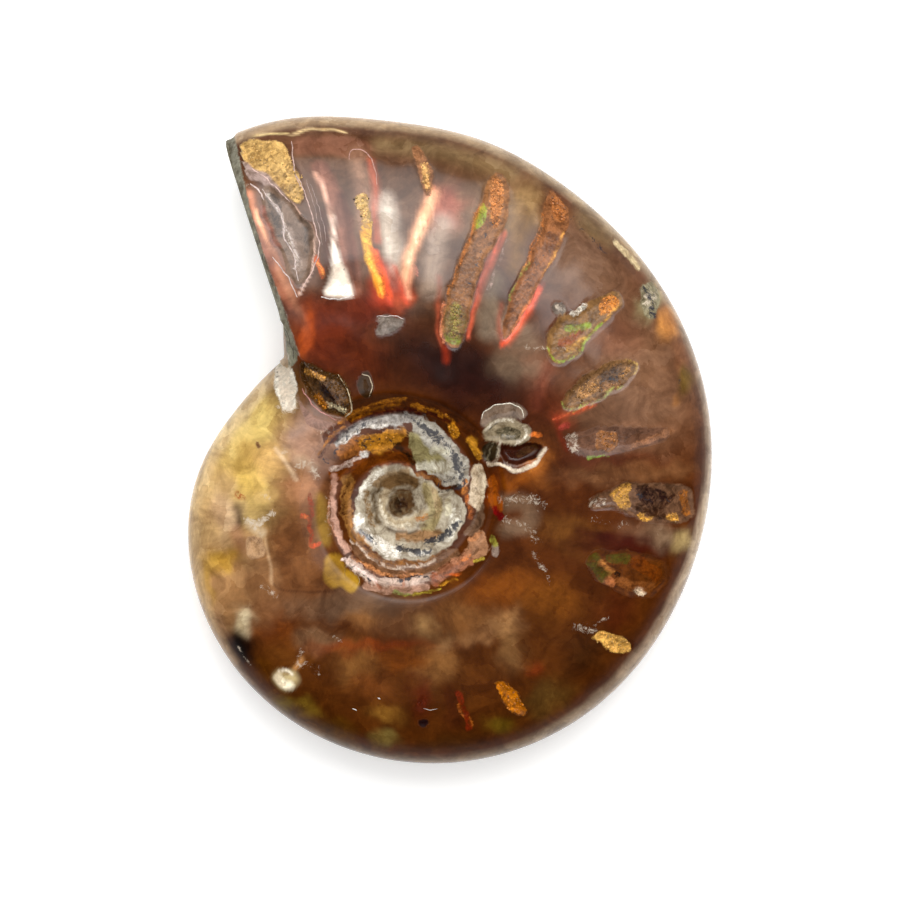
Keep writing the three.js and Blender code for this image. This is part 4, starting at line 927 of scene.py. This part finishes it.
SHEEN, CLEARED = 0.012, 1.18  # light that the polish adds over the stone, and what it takes off below
MOUTH_EDGE_TINT, MOUTH_EDGE_GRAIN = "#7d7a6b", 0.35
PHOTO_MIDDLE, VIEW_DISTANCE = (4.6, 9.0), 349.0  # in mm, from the coil's axis and from the camera
STONE_TINT = "#4a2c18"  # dark calcite, where no cloud lies
# painted reflection: a pale band round the outline stands in for the bright tent mirrored in the rim's
# steep slopes
RIM_REFLECTION_BANDS = [  # turn round the axis, and how wide the band is there and its colour
    (-180, 1.2, "#bda27c"), (-150, 1.0, "#a88a68"), (-128, 0.4, "#6a5444"), (-105, 0.5, "#705c4a"),
    (-85, 0.6, "#75614e"), (-66, 0.8, "#7e6a56"), (-48, 1.1, "#8f7b68"), (-30, 1.1, "#a08a76"),
    (-15, 0.9, "#b39d88"), (5, 0.6, "#b8a592"), (25, 0.5, "#8d7a6a"), (50, 0.7, "#93806a"),
    (80, 0.9, "#9a8670"), (105, 1.1, "#a48d74"), (125, 1.1, "#9a8570"), (150, 1.4, "#ae9878"),
    (180, 1.2, "#bda27c"),
]
RIM_REFLECTION_SHARE, RIM_REFLECTION_BLUR = 0.85, (0.4, 0.5)  # how much of it shows, and how far its edge is blurred
# how far up the photo from the axis, and how wide the broken wall's bevel is there
MOUTH_BEVEL = [(15, 0.7), (18, 0.7), (22, 0.5), (27, 0.55), (33.5, 1.15)]
BEVEL_STEEPNESS, STEP_RADIUS = 1.1, 14  # the bevel's fall in each mm, and where its step starts
UNGROUND = (8.4, 10)  # radii between which the wheel's polish begins
WAVE_REACH, WAVE = 0.3, 1.4  # how far waves move a patch's outline, and how long they are
TOOTH_REACH, TOOTH = 0.09, 0.5  # the same for its fine teeth, which are coarser in the navel
COARSER = 1.4  # how many times the teeth's own reach is added there
FAR = 2.0  # this far outside a patch, nothing more of it shows
PATCH_BLUR, PIT_SLOPE = 0.14, (-0.1, 0.45)  # how a patch's colour and its depth start at its edge
STEP_START, STEP_END = (-0.15, 0.05), (0.35, 0.6)  # the rough step inside a patch's edge
NAVEL_DULLNESS, STEP_DULLNESS = 0.5, 0.6
CRUMBLY = (0.42, 0.8)  # coarseness of a floor where crumbs begin to lie, and where they lie thick
SWELLS = [(0.12, 4.5, 2.5), (0.04, 2, 4.5)]  # height, size and seed of the polish's unevenness


def wander(size, seed):
    """Smooth noise at every point, from about -1 to 1, in lumps of this size in mm."""
    return np.array([noise.noise((across / size, up / size, seed)) for across, up in zip(x, y)])


def rounded_off(corners, closed):
    """The line through the corners, with each corner cut back twice."""
    line = np.array(corners, float)
    for _ in range(2):
        start = line if closed else line[:-1]
        end = np.roll(line, -1, 0) if closed else line[1:]
        cut = np.stack([0.75 * start + 0.25 * end, 0.25 * start + 0.75 * end], 1).reshape(-1, 2)
        line = cut if closed else np.vstack([line[:1], cut, line[-1:]])
    return line


def inside(corners, half_width, across, up):
    """How far inside an outline, or a streak of this half width, each point lies, in mm."""
    closed = half_width == 0
    line = rounded_off(corners, closed)
    result = np.full(across.shape, -FAR)
    reach = FAR + half_width
    near = (across > line[:, 0].min() - reach) & (across < line[:, 0].max() + reach)
    near &= (up > line[:, 1].min() - reach) & (up < line[:, 1].max() + reach)
    near_x, near_y = across[near], up[near]
    away = np.full(near_x.shape, np.inf)
    within = np.zeros(near_x.shape, bool)
    ends = np.roll(line, -1, 0) if closed else line[1:]
    for (start_x, start_y), (end_x, end_y) in zip(line, ends):
        edge_x, edge_y = end_x - start_x, end_y - start_y
        from_x, from_y = near_x - start_x, near_y - start_y
        length_squared = max(edge_x * edge_x + edge_y * edge_y, 1e-9)
        along = np.clip((from_x * edge_x + from_y * edge_y) / length_squared, 0, 1)
        away = np.minimum(away, np.hypot(from_x - along * edge_x, from_y - along * edge_y))
        if closed and start_y != end_y:
            passed = (start_y > near_y) != (end_y > near_y)
            within ^= passed & (near_x < start_x + from_y * edge_x / edge_y)
    result[near] = np.where(within, away, -away) if closed else half_width - away
    return np.maximum(result, -FAR)


wavy = [WAVE_REACH * wander(WAVE, seed) for seed in (1.5, 7.5)]
jagged = [TOOTH_REACH * wander(TOOTH, seed) for seed in (3.5, 9.5)]
# the tables were measured in the photo, where what lies higher looks a little larger
seen_x = PHOTO_MIDDLE[0] + (x - PHOTO_MIDDLE[0]) * (1 + z / VIEW_DISTANCE)
seen_y = PHOTO_MIDDLE[1] + (y - PHOTO_MIDDLE[1]) * (1 + z / VIEW_DISTANCE)
unground = 1 - smooth(np.hypot(x, y), *UNGROUND)  # the navel, which the wheel didn't reach
rugged = 1 + COARSER * unground
patch_x, patch_y = seen_x + wavy[0] + rugged * jagged[0], seen_y + wavy[1] + rugged * jagged[1]
cloud_x, cloud_y = seen_x + 2.5 * wavy[0] + 2 * jagged[0], seen_y + 2.5 * wavy[1] + 2 * jagged[1]
silky_x, silky_y = seen_x + 0.6 * wavy[0], seen_y + 0.6 * wavy[1]
points_total = len(x)


def bare(tint):
    """The stone's own colour, from the one that shows through the sheen of its polish."""
    return [max((c - SHEEN) * CLEARED, 0.002) for c in colour(tint)]


clouds = np.tile(bare(STONE_TINT), (points_total, 1))
for across, up, long, wide, turned_by, tint, share in CLOUDS:
    cosine, sine = math.cos(math.radians(turned_by)), math.sin(math.radians(turned_by))
    along = ((cloud_x - across) * cosine + (cloud_y - up) * sine) / long
    beside = ((cloud_y - up) * cosine - (cloud_x - across) * sine) / wide
    weight = share * np.exp(-((along**2 + beside**2) ** 1.5))
    clouds += (np.array(bare(tint)) - clouds) * weight[:, None]
for tint, share, softness, half_width, corners in SOFT_TINTS_AND_SHEEN:
    weight = share * smooth(inside(corners, half_width, silky_x, silky_y), -softness, softness) * on_top
    clouds += (np.array(bare(tint)) - clouds) * weight[:, None]

# a pale band painted round the outline stands in for the reflection of the bright tent in the rim's steep
# slopes
rim_turn = np.degrees(np.arctan2(y, x))
to_rim = outline[net_column] - net_radius + 0.5 * wavy[0]
turns = [turn for turn, _, _ in RIM_REFLECTION_BANDS]
rim_reflection_width = np.interp(rim_turn, turns, [wide for _, wide, _ in RIM_REFLECTION_BANDS])
painted_rim_reflection = 1 - smooth(to_rim, rim_reflection_width - RIM_REFLECTION_BLUR[0], rim_reflection_width + RIM_REFLECTION_BLUR[1])
rim_reflection_tint = [np.interp(rim_turn, turns, channel) for channel in zip(*[bare(t) for _, _, t in RIM_REFLECTION_BANDS])]
clouds += (np.stack(rim_reflection_tint, 1) - clouds) * (RIM_REFLECTION_SHARE * painted_rim_reflection)[:, None]

# the mouth's edge: the broken wall slopes off beside the straight line, wider towards its tip
normal = math.radians(MOUTH_NORMAL)
to_line = MOUTH_DISTANCE - x * math.cos(normal) - y * math.sin(normal)
bevel = np.interp(y, *zip(*MOUTH_BEVEL)) + 0.3 * jagged[0]
own_turn = ~past_mouth & (net_angle > BEFORE_MOUTH) & (net_radius > STEP_RADIUS)
in_bevel = np.where(own_turn, bevel - to_line, -FAR)

layers = {}
for layer, patches in {"plate": PLATES, "detail": DETAILS}.items():
    depth_inside = np.full(points_total, -FAR)
    tints = np.zeros((points_total, 4))
    for tint, grain, depth, half_width, corners in patches:
        patch = np.where(on_top, inside(corners, half_width, patch_x, patch_y), -FAR)
        over = np.where(depth_inside > 0, smooth(patch, -PATCH_BLUR, PATCH_BLUR), patch > depth_inside)
        tints += (np.array((*bare(tint), grain)) - tints) * over[:, None]
        depth_inside = np.maximum(depth_inside, patch)
        if depth:
            z -= depth * smooth(patch, *PIT_SLOPE)
    layers[layer] = depth_inside, tints
edge_inside, edge_tints = layers["plate"]
edge_tints[in_bevel > -0.3] = (*bare(MOUTH_EDGE_TINT), MOUTH_EDGE_GRAIN)
layers["plate"] = np.where(in_bevel > -0.3, in_bevel, edge_inside), edge_tints
layers["detail"][0][in_bevel > -0.1] = -FAR

z -= np.where(on_top, BEVEL_STEEPNESS * np.maximum(in_bevel, 0), 0)
z += np.where(on_top, sum(high * wander(size, seed) for high, size, seed in SWELLS), 0)
# the wheel left the steps at the edges of the patches rough
step = smooth(edge_inside, *STEP_START) * (1 - smooth(edge_inside, *STEP_END))
dull = np.maximum(NAVEL_DULLNESS * unground, STEP_DULLNESS * step)
dull = np.maximum(smooth(in_bevel, -0.1, 0.1), dull)
for name, places in (("speckle", SPECKLED), ("frost", FROSTED)):
    dense = np.full(points_total, -1.0)
    for share, softness, half_width, corners in places:
        weight = smooth(inside(corners, half_width, patch_x, patch_y), -softness, softness) * on_top
        dense = np.maximum(dense, (1 + share) * weight - 1)
    store(shape, name, dense)
for name, (depth_inside, tints) in layers.items():
    store(shape, name, depth_inside)
    store(shape, f"{name}_tint", tints)
store(shape, "clouds", np.hstack([clouds, np.ones((points_total, 1))]))
plate_grain = np.where(layers["plate"][0] > 0.05, layers["plate"][1][:, 3], 0)
detail_grain = np.where(layers["detail"][0] > 0.05, layers["detail"][1][:, 3], plate_grain)
crumbs = np.where(on_top & (in_bevel < 0), smooth(detail_grain, *CRUMBLY), 0)
store(shape, "crumbs", crumbs)
crumb_tints = np.where((layers["detail"][0] > 0)[:, None], layers["detail"][1], layers["plate"][1])
store(shape, "crumb_tint", crumb_tints)
store(shape, "dull", dull)


def in_place(across, up):
    """Metres in the frame, from mm about the coil's axis."""
    return (across - middle_x) * MM + middle.x, (up - middle_y) * MM + middle.y


z = np.maximum(z, -LAPPED_LEVEL)
placed = np.stack([*in_place(x, y), (z + LAPPED_LEVEL) * MM], 1)
shape.vertices.foreach_set("co", placed.ravel().astype(np.float32))
shape.polygons.foreach_set("use_smooth", np.ones(len(shape.polygons), bool))
shape.update()

# Polished calcite with patches of bare nacre and sand: glassy where the wheel reached, and coarse
# and matt on the floors of the furrows. Mottles of a few millimetres cloud it, as in honey agate.
MOTTLE, FLECK, EDGE, GRAIN = 3.2 * MM, 0.55 * MM, 0.32 * MM, 0.3 * MM
MOTTLE_DARK, MOTTLE_LIGHT = (0.74, 0.69, 0.6), (1.24, 1.23, 1.1)
FACET, FACET_DARK, FACET_LIGHT = 1.9 * MM, (0.86, 0.81, 0.75), (1.14, 1.17, 1.2)
PATCH_DARK, PATCH_LIGHT = (0.42, 0.37, 0.32), (1.1, 1.1, 1.12)
GROWTH_LINES, GROWTH_LINE_LENGTH = 50.0, 7 * MM  # lines in a radian, and how long each runs
BLOT, BLOT_SHARE, BROKEN, RIME, RIME_SHARE = 0.8 * MM, 0.17, 0.45 * MM, 0.7 * MM, 0.2
PATCH, SPREAD = 1.1 * MM, 1.3  # size of the tones within a patch, and how far facets are bent
BLOT_TINT, RIME_TINT = "#2b2a30", "#c8b8a4"
FACING_UP, SHINE = (0.84, 0.985), (0.06, 0.42)  # how level the polish lies, and what it reflects
ROUGHNESS = (0.17, 0.5)  # of the polish and of the coarse floors
stone.use_nodes = True
mix = stone.node_tree
body = mix.nodes["Principled BSDF"]
place = add(mix, "ShaderNodeTexCoord", out=3)
mottle = add(mix, "ShaderNodeTexNoise", place, 1 / MOTTLE, 5.0, 0.62, 2.2, 0.9)
mottle = add(mix, "ShaderNodeMapRange", mottle, 0.38, 0.62, 0.0, 1.0)
mottle = add(mix, "ShaderNodeMix", mottle, (*MOTTLE_DARK, 1), (*MOTTLE_LIGHT, 1), data_type="RGBA")
# fine growth lines run outwards from the coil's axis
flat_place = add(mix, "ShaderNodeVectorMath", place, (*in_place(0, 0), 0), operation="SUBTRACT")
across_part = add(mix, "ShaderNodeSeparateXYZ", flat_place, out=0)
up_part = add(mix, "ShaderNodeSeparateXYZ", flat_place, out=1)
turned_part = add(mix, "ShaderNodeMath", up_part, across_part, operation="ARCTAN2")
out_part = add(mix, "ShaderNodeMath", across_part, across_part, operation="MULTIPLY")
out_part = add(mix, "ShaderNodeMath", up_part, up_part, out_part, operation="MULTIPLY_ADD")
out_part = add(mix, "ShaderNodeMath", out_part, 0.5, operation="POWER")
out_part = add(mix, "ShaderNodeMath", out_part, GROWTH_LINE_LENGTH, operation="DIVIDE")
turned_part = add(mix, "ShaderNodeMath", turned_part, GROWTH_LINES, operation="MULTIPLY")
lines = add(mix, "ShaderNodeCombineXYZ", turned_part, out_part, 0.0)
lines = add(mix, "ShaderNodeTexNoise", lines, 1.0, 3.0, 0.6, 2.0, 0.5)
lines = add(mix, "ShaderNodeMapRange", lines, 0.3, 0.7, 0.94, 1.07)
# flecks, and the facets of the calcite's crystals, each a little lighter or darker
fleck = add(mix, "ShaderNodeTexNoise", place, 1 / FLECK, 3.0, 0.6)
fleck = add(mix, "ShaderNodeMapRange", fleck, 0.3, 0.7, 0.9, 1.11)
bent = add(mix, "ShaderNodeTexNoise", place, 1 / FACET, 3.0, 0.6, out=1)
bent = add(mix, "ShaderNodeVectorMath", bent, SPREAD * FACET, operation="SCALE")
bent = add(mix, "ShaderNodeVectorMath", place, bent, operation="ADD")
facets = add(mix, "ShaderNodeTexVoronoi", bent, 1 / FACET, out=1)
facets = add(mix, "ShaderNodeSeparateColor", facets)
facets = add(mix, "ShaderNodeMix", facets, (*FACET_DARK, 1), (*FACET_LIGHT, 1), data_type="RGBA")
ground = add(mix, "ShaderNodeAttribute", attribute_name="clouds")
ground = add(mix, "ShaderNodeVectorMath", ground, facets, operation="MULTIPLY")
ground = add(mix, "ShaderNodeVectorMath", ground, mottle, operation="MULTIPLY")
ground = add(mix, "ShaderNodeVectorMath", ground, fleck, operation="SCALE")
ground = add(mix, "ShaderNodeVectorMath", ground, lines, operation="SCALE")
# the patches lie over the ground colour, with tones of their own and ragged edges
clouded = add(mix, "ShaderNodeTexNoise", place, 1 / PATCH, 4.0, 0.75, 2.2, 0.6)
clouded = add(mix, "ShaderNodeMapRange", clouded, 0.36, 0.62, 0.0, 1.0)
clouded = add(mix, "ShaderNodeMix", clouded, (*PATCH_DARK, 1), (*PATCH_LIGHT, 1), data_type="RGBA")
ragged = add(mix, "ShaderNodeTexNoise", place, 1 / EDGE, 3.0, 0.7)
ragged = add(mix, "ShaderNodeMath", ragged, -0.5, operation="ADD")
broken = add(mix, "ShaderNodeTexNoise", place, 1 / BROKEN, 4.0, 0.7, 2.2, 0.8)
broken = add(mix, "ShaderNodeMapRange", broken, 0.38, 0.56, 0.25, 0.95)
painted, grain = ground, 0.0
for name in ("plate", "detail"):
    patch_tint = add(mix, "ShaderNodeAttribute", attribute_name=f"{name}_tint")
    patch_grain = add(mix, "ShaderNodeAttribute", attribute_name=f"{name}_tint", out=3)
    raggedness = add(mix, "ShaderNodeMath", patch_grain, 0.5, 0.25, operation="MULTIPLY_ADD")
    reach = add(mix, "ShaderNodeAttribute", attribute_name=name, out=2)
    reach = add(mix, "ShaderNodeMath", ragged, raggedness, reach, operation="MULTIPLY_ADD")
    covered = add(mix, "ShaderNodeMapRange", reach, -0.1, 0.1, 0.0, 1.0, interpolation_type="SMOOTHSTEP")
    if name == "detail":
        covered = add(mix, "ShaderNodeMath", covered, broken, operation="MULTIPLY")
    patch_tint = add(mix, "ShaderNodeVectorMath", patch_tint, clouded, operation="MULTIPLY")
    painted = add(mix, "ShaderNodeMix", covered, painted, patch_tint, data_type="RGBA")
    grain = add(mix, "ShaderNodeMix", covered, grain, patch_grain, data_type="FLOAT")
# dark blots, and pale rime where the stone is chipped
speckled = add(mix, "ShaderNodeAttribute", attribute_name="speckle", out=2)
blots = add(mix, "ShaderNodeTexNoise", place, 1 / BLOT, 5.0, 0.7, 2.2, 1.2)
blots = add(mix, "ShaderNodeMath", speckled, BLOT_SHARE, blots, operation="MULTIPLY_ADD")
blots = add(mix, "ShaderNodeMapRange", blots, 0.62, 0.7, 0.0, 0.92)
painted = add(mix, "ShaderNodeMix", blots, painted, (*colour(BLOT_TINT), 1), data_type="RGBA")
frosted = add(mix, "ShaderNodeAttribute", attribute_name="frost", out=2)
rime = add(mix, "ShaderNodeTexNoise", place, 1 / RIME, 5.0, 0.75, 2.3, 1.5)
rime = add(mix, "ShaderNodeMath", frosted, RIME_SHARE, rime, operation="MULTIPLY_ADD")
rime = add(mix, "ShaderNodeMapRange", rime, 0.55, 0.72, 0.0, 0.85)
painted = add(mix, "ShaderNodeMix", rime, painted, (*colour(RIME_TINT), 1), data_type="RGBA")
# sand grains, which are also matt and stand out where the floors are coarse
cells = add(mix, "ShaderNodeTexVoronoi", place, 1 / GRAIN, out=1)
cell = add(mix, "ShaderNodeSeparateColor", cells)
cell = add(mix, "ShaderNodeMapRange", cell, 0.0, 1.0, 0.45, 1.7)
cell = add(mix, "ShaderNodeMix", grain, 1.0, cell, data_type="FLOAT")
painted = add(mix, "ShaderNodeVectorMath", painted, cell, operation="SCALE")
mix.links.new(painted, body.inputs["Base Color"])
dullness = add(mix, "ShaderNodeAttribute", attribute_name="dull", out=2)
rough = add(mix, "ShaderNodeMath", grain, dullness, operation="MAXIMUM")
rough = add(mix, "ShaderNodeMapRange", rough, 0.0, 0.6, *ROUGHNESS)
mix.links.new(rough, body.inputs["Roughness"])
pebbled = add(mix, "ShaderNodeTexVoronoi", place, 1 / GRAIN)
pebbled = add(mix, "ShaderNodeMath", pebbled, grain, operation="MULTIPLY")
bumps = add(mix, "ShaderNodeBump", 0.6, 0.12 * MM, None, pebbled)
mix.links.new(bumps, body.inputs["Normal"])
# the worn slopes reflect less than what the wheel left level
facing = add(mix, "ShaderNodeNewGeometry", out=1)
facing = add(mix, "ShaderNodeSeparateXYZ", facing, out=2)
facing = add(mix, "ShaderNodeMapRange", facing, *FACING_UP, *SHINE)
body.inputs["Specular IOR Level"].default_value = SHINE[1]
mix.links.new(facing, body.inputs["Specular IOR Level"])
body.inputs["IOR"].default_value = 1.5
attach(fossil, "root")
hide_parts("ammonite")

# Seams. Cracks in the shell and the walls between its chambers healed with pinkish-white calcite,
# which shows as thin lines in the polish and stands a little proud round the pits.
SEAMS = [  # colour, half width in mm, and the line that the seam follows
    ("#d9c4bc", 0.09, [
        (-13.2, 29.5), (-12.6, 28.5), (-11.5, 27.5), (-11, 26), (-11.1, 24.6), (-10.2, 23.5),
        (-9.9, 22), (-9.6, 20.5)]),
    ("#d9b8ac", 0.08, [
        (-10.3, 31.5), (-9.3, 29.5), (-8.6, 27.5), (-8, 25.5), (-7.6, 23.6), (-8.2, 21.8), (-9.1, 20.4),
        (-9.5, 19)]),
    ("#d9c4bc", 0.08, [(-12.2, 23), (-10.9, 21.5), (-10, 19.8), (-9.7, 19)]),
    ("#d9b8ac", 0.08, [(-14.6, 31.6), (-13, 30.6), (-11.6, 29.2), (-10.4, 28)]),
    ("#e6cfc6", 0.1, [(-14.2, 29.9), (-13.3, 29.2), (-12.9, 28.2)]),
    ("#c09080", 0.08, [(-5, 32), (-4.9, 33.2), (-3.4, 33), (-2.5, 31.4), (-2.4, 29.6)]),
    ("#c9a89c", 0.08, [(-10.4, 34), (-10.2, 31.5), (-9.4, 29)]),
    ("#a88f86", 0.06, [(-9.2, 31), (-7.7, 26), (-7.4, 23.5)]),
    ("#a88f86", 0.06, [(-8.8, 30.6), (-7.3, 26), (-7, 23.8)]),
    ("#e6dad2", 0.09, [(-7.6, 19.2), (-6, 18.9), (-4.4, 19.3)]),
    ("#c98a80", 0.08, [(-9.5, 10.8), (-8.6, 9.3), (-7.5, 8.3), (-6, 7.7)]),
    ("#d8c4a0", 0.09, [(-6, 12), (-4.9, 10.4), (-4.6, 8.5), (-5.4, 8)]),
    ("#c8b498", 0.07, [(-3.9, 12), (-3, 11.8), (-2.7, 10.8), (-3.1, 9.9)]),
    ("#4a4234", 0.06, [(-10.9, 16.4), (-10.4, 15), (-10.2, 13.4)]),
    ("#cdb8b0", 0.07, [(-2.6, 17.3), (-0.8, 17.5), (0.3, 17.1)]),
    ("#e6dcc8", 0.08, [(7.3, 7.7), (7.6, 8.6), (8.8, 9.2), (10.4, 9.3), (11.3, 8.6), (11.3, 7.8)]),
    ("#e6dcd4", 0.09, [(-2.4, -18.2), (-2, -18.4)]), ("#e6dcd4", 0.07, [(-4.8, -19.3), (-4.2, -19.5)]),
    ("#e0ccc0", 0.035, [(-2.2, -8.8), (-1.6, -9), (-1.3, -9.6)]),
    ("#d8ccc4", 0.06, [(1.8, -19.2), (2.6, -19.4), (3.5, -19.2)]),
    ("#b09a74", 0.05, [
        (-7.4, -6.2), (-7.3, -7.3), (-6.3, -8.1), (-5.2, -8.4), (-4.2, -8.2), (-4, -7.2), (-4.8, -6.1)]),
    ("#8a6a30", 0.05, [(-5.3, -5.2), (-5.4, -6.6), (-5.4, -8)]),
]
SEAM = {"Spacing": 0.15 * MM, "Wander": 0.2 * MM, "Wander Size": 0.9 * MM, "Sunk": 0.045 * MM}
FLANK_HEIGHT = 8.4  # where the seams lie over the middle plane, roughly, as the camera saw them
SEAM_END, STREAK = 0.35, 0.4 * MM  # width left at a seam's ends, and size of its milky streaks
seam_points, seam_edges, seam_radii, seam_tints = [], [], [], []
for tint, half_width, corners in SEAMS:
    line = rounded_off(corners, False)
    line = (line - PHOTO_MIDDLE) / (1 + FLANK_HEIGHT / VIEW_DISTANCE) + PHOTO_MIDDLE
    first = len(seam_points)
    for i, (across, up) in enumerate(line):
        seam_points.append((*in_place(across, up), cad_high.z + MM))
        fullness = math.sin(math.pi * i / (len(line) - 1)) ** 0.5
        seam_radii.append(half_width * MM * (SEAM_END + (1 - SEAM_END) * fullness))
        seam_tints.append((*colour(tint), 1))
    seam_edges += [(i, i + 1) for i in range(first, len(seam_points) - 1)]
seam_net = bpy.data.meshes.new("seam_lines")
seam_net.from_pydata(seam_points, seam_edges, [])
store(seam_net, "half_width", seam_radii)
store(seam_net, "tint", seam_tints)

healed = bpy.data.materials.new("seam_calcite")  # milky vein calcite, polished with the rest
healed.use_nodes = True
milky = healed.node_tree
body = milky.nodes["Principled BSDF"]
streaks = add(milky, "ShaderNodeTexCoord", out=3)
streaks = add(milky, "ShaderNodeTexNoise", streaks, 1 / STREAK, 2.0, 0.6)
streaks = add(milky, "ShaderNodeMapRange", streaks, 0.38, 0.62, 0.5, 0.95)
seam_tint = add(milky, "ShaderNodeAttribute", attribute_name="tint")
seam_tint = add(milky, "ShaderNodeVectorMath", seam_tint, streaks, operation="SCALE")
milky.links.new(seam_tint, body.inputs["Base Color"])
body.inputs["Roughness"].default_value = 0.25

laying = bpy.data.node_groups.new("lay_seams", "GeometryNodeTree")
laying.interface.new_socket("Lines", in_out="INPUT", socket_type="NodeSocketGeometry")
laying.interface.new_socket("Seams", in_out="OUTPUT", socket_type="NodeSocketGeometry")
sockets = number_inputs(laying, SEAM)
given = laying.nodes.new("NodeGroupInput").outputs
curves = add(laying, "GeometryNodeMeshToCurve", given["Lines"])
curves = add(laying, "GeometryNodeResampleCurve", curves, None, given["Spacing"], mode="LENGTH")
per_metre = add(laying, "ShaderNodeMath", 1.0, given["Wander Size"], operation="DIVIDE")
swerve = add(laying, "ShaderNodeTexNoise", None, per_metre, 2.0, 0.6, out=1)
swerve = add(laying, "ShaderNodeVectorMath", swerve, (0.5, 0.5, 0.5), operation="SUBTRACT")
swerve = add(laying, "ShaderNodeVectorMath", swerve, given["Wander"], operation="SCALE")
swerve = add(laying, "ShaderNodeVectorMath", swerve, (2.0, 2.0, 0.0), operation="MULTIPLY")
curves = add(laying, "GeometryNodeSetPosition", curves, True, None, swerve)
surface = laying.nodes.new("GeometryNodeObjectInfo")
surface.inputs["Object"].default_value = fossil
cast = laying.nodes.new("GeometryNodeRaycast")
laying.links.new(surface.outputs["Geometry"], cast.inputs["Target Geometry"])
cast.inputs["Ray Direction"].default_value = (0, 0, -1)
cast.inputs["Ray Length"].default_value = 0.05
sink = add(laying, "ShaderNodeMath", given["Sunk"], -1.0, operation="MULTIPLY")
sink = add(laying, "ShaderNodeCombineXYZ", 0.0, 0.0, sink)
is_hit, hit_place = cast.outputs["Is Hit"], cast.outputs["Hit Position"]
curves = add(laying, "GeometryNodeSetPosition", curves, is_hit, hit_place, sink)
round_section = add(laying, "GeometryNodeCurvePrimitiveCircle", 6)
half_width = add(laying, "GeometryNodeInputNamedAttribute", "half_width", data_type="FLOAT")
tubes = add(laying, "GeometryNodeCurveToMesh", curves, round_section, half_width, True)
tubes = add(laying, "GeometryNodeSetMaterial", tubes, True, healed)
tubes = add(laying, "GeometryNodeRealizeInstances", tubes)
laying.links.new(tubes, laying.nodes.new("NodeGroupOutput").inputs["Seams"])
seams = bpy.data.objects.new("seams", seam_net)
bpy.context.scene.collection.objects.link(seams)
make_plain(seams, laying, sockets, SEAM)
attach(seams, "root")

# Sand and crystals. Grains of the mud that filled the furrows are cemented to their floors, and
# tiny calcite crystals cover the frosted chips. They are scattered where the floors are coarse.
SAND = {"Closest": 0.17 * MM, "Densest": 26e6, "Smallest": 0.05 * MM, "Largest": 0.15 * MM}
DARKEST, LIGHTEST = 0.45, 1.35  # a grain's tone beside the floor's
ANY_TURN = (6.3, 6.3, 6.3)
grit = bpy.data.materials.new("cemented_sand")  # quartz and calcite grains, each its own tone
grit.use_nodes = True
gritty = grit.node_tree
body = gritty.nodes["Principled BSDF"]
grit_tint = add(gritty, "ShaderNodeAttribute", attribute_name="crumb_tint")
tone = add(gritty, "ShaderNodeAttribute", attribute_name="tone", out=2)
grit_tint = add(gritty, "ShaderNodeVectorMath", grit_tint, tone, operation="SCALE")
gritty.links.new(grit_tint, body.inputs["Base Color"])
body.inputs["Roughness"].default_value = 0.35

scatter = bpy.data.node_groups.new("scatter_sand", "GeometryNodeTree")
scatter.interface.new_socket("Start", in_out="INPUT", socket_type="NodeSocketGeometry")
scatter.interface.new_socket("Sand", in_out="OUTPUT", socket_type="NodeSocketGeometry")
sockets = number_inputs(scatter, SAND)
given = scatter.nodes.new("NodeGroupInput").outputs
surface = scatter.nodes.new("GeometryNodeObjectInfo")
surface.inputs["Object"].default_value = fossil
coarse = add(scatter, "GeometryNodeInputNamedAttribute", "crumbs", data_type="FLOAT")
spread = scatter.nodes.new("GeometryNodeDistributePointsOnFaces")
spread.distribute_method = "POISSON"
scatter.links.new(surface.outputs["Geometry"], spread.inputs["Mesh"])
scatter.links.new(given["Closest"], spread.inputs["Distance Min"])
scatter.links.new(given["Densest"], spread.inputs["Density Max"])
scatter.links.new(coarse, spread.inputs["Density Factor"])
spread.inputs["Seed"].default_value = 11
crystal = add(scatter, "GeometryNodeMeshIcoSphere", 1.0, 1)
turn_any = add(scatter, "FunctionNodeRandomValue", (0, 0, 0), ANY_TURN, None, 5, data_type="FLOAT_VECTOR")
smallest, largest = given["Smallest"], given["Largest"]
size = add(scatter, "FunctionNodeRandomValue", smallest, largest, None, 6, data_type="FLOAT")
heap = scatter.nodes.new("GeometryNodeInstanceOnPoints")
scatter.links.new(spread.outputs["Points"], heap.inputs["Points"])
scatter.links.new(crystal, heap.inputs["Instance"])
scatter.links.new(turn_any, heap.inputs["Rotation"])
scatter.links.new(size, heap.inputs["Scale"])
brightness = add(scatter, "FunctionNodeRandomValue", DARKEST, LIGHTEST, None, 7, data_type="FLOAT")
toned = scatter.nodes.new("GeometryNodeStoreNamedAttribute")
toned.data_type, toned.domain = "FLOAT", "INSTANCE"
toned.inputs["Name"].default_value = "tone"
scatter.links.new(heap.outputs["Instances"], toned.inputs["Geometry"])
scatter.links.new(brightness, [s for s in toned.inputs if s.enabled and s.name == "Value"][0])
grains = add(scatter, "GeometryNodeRealizeInstances", toned.outputs["Geometry"])
grains = add(scatter, "GeometryNodeSetMaterial", grains, True, grit)
scatter.links.new(grains, scatter.nodes.new("NodeGroupOutput").inputs["Sand"])
sand = bpy.data.objects.new("sand", bpy.data.meshes.new("sand_start"))
bpy.context.scene.collection.objects.link(sand)
make_plain(sand, scatter, sockets, SAND)
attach(sand, "root")
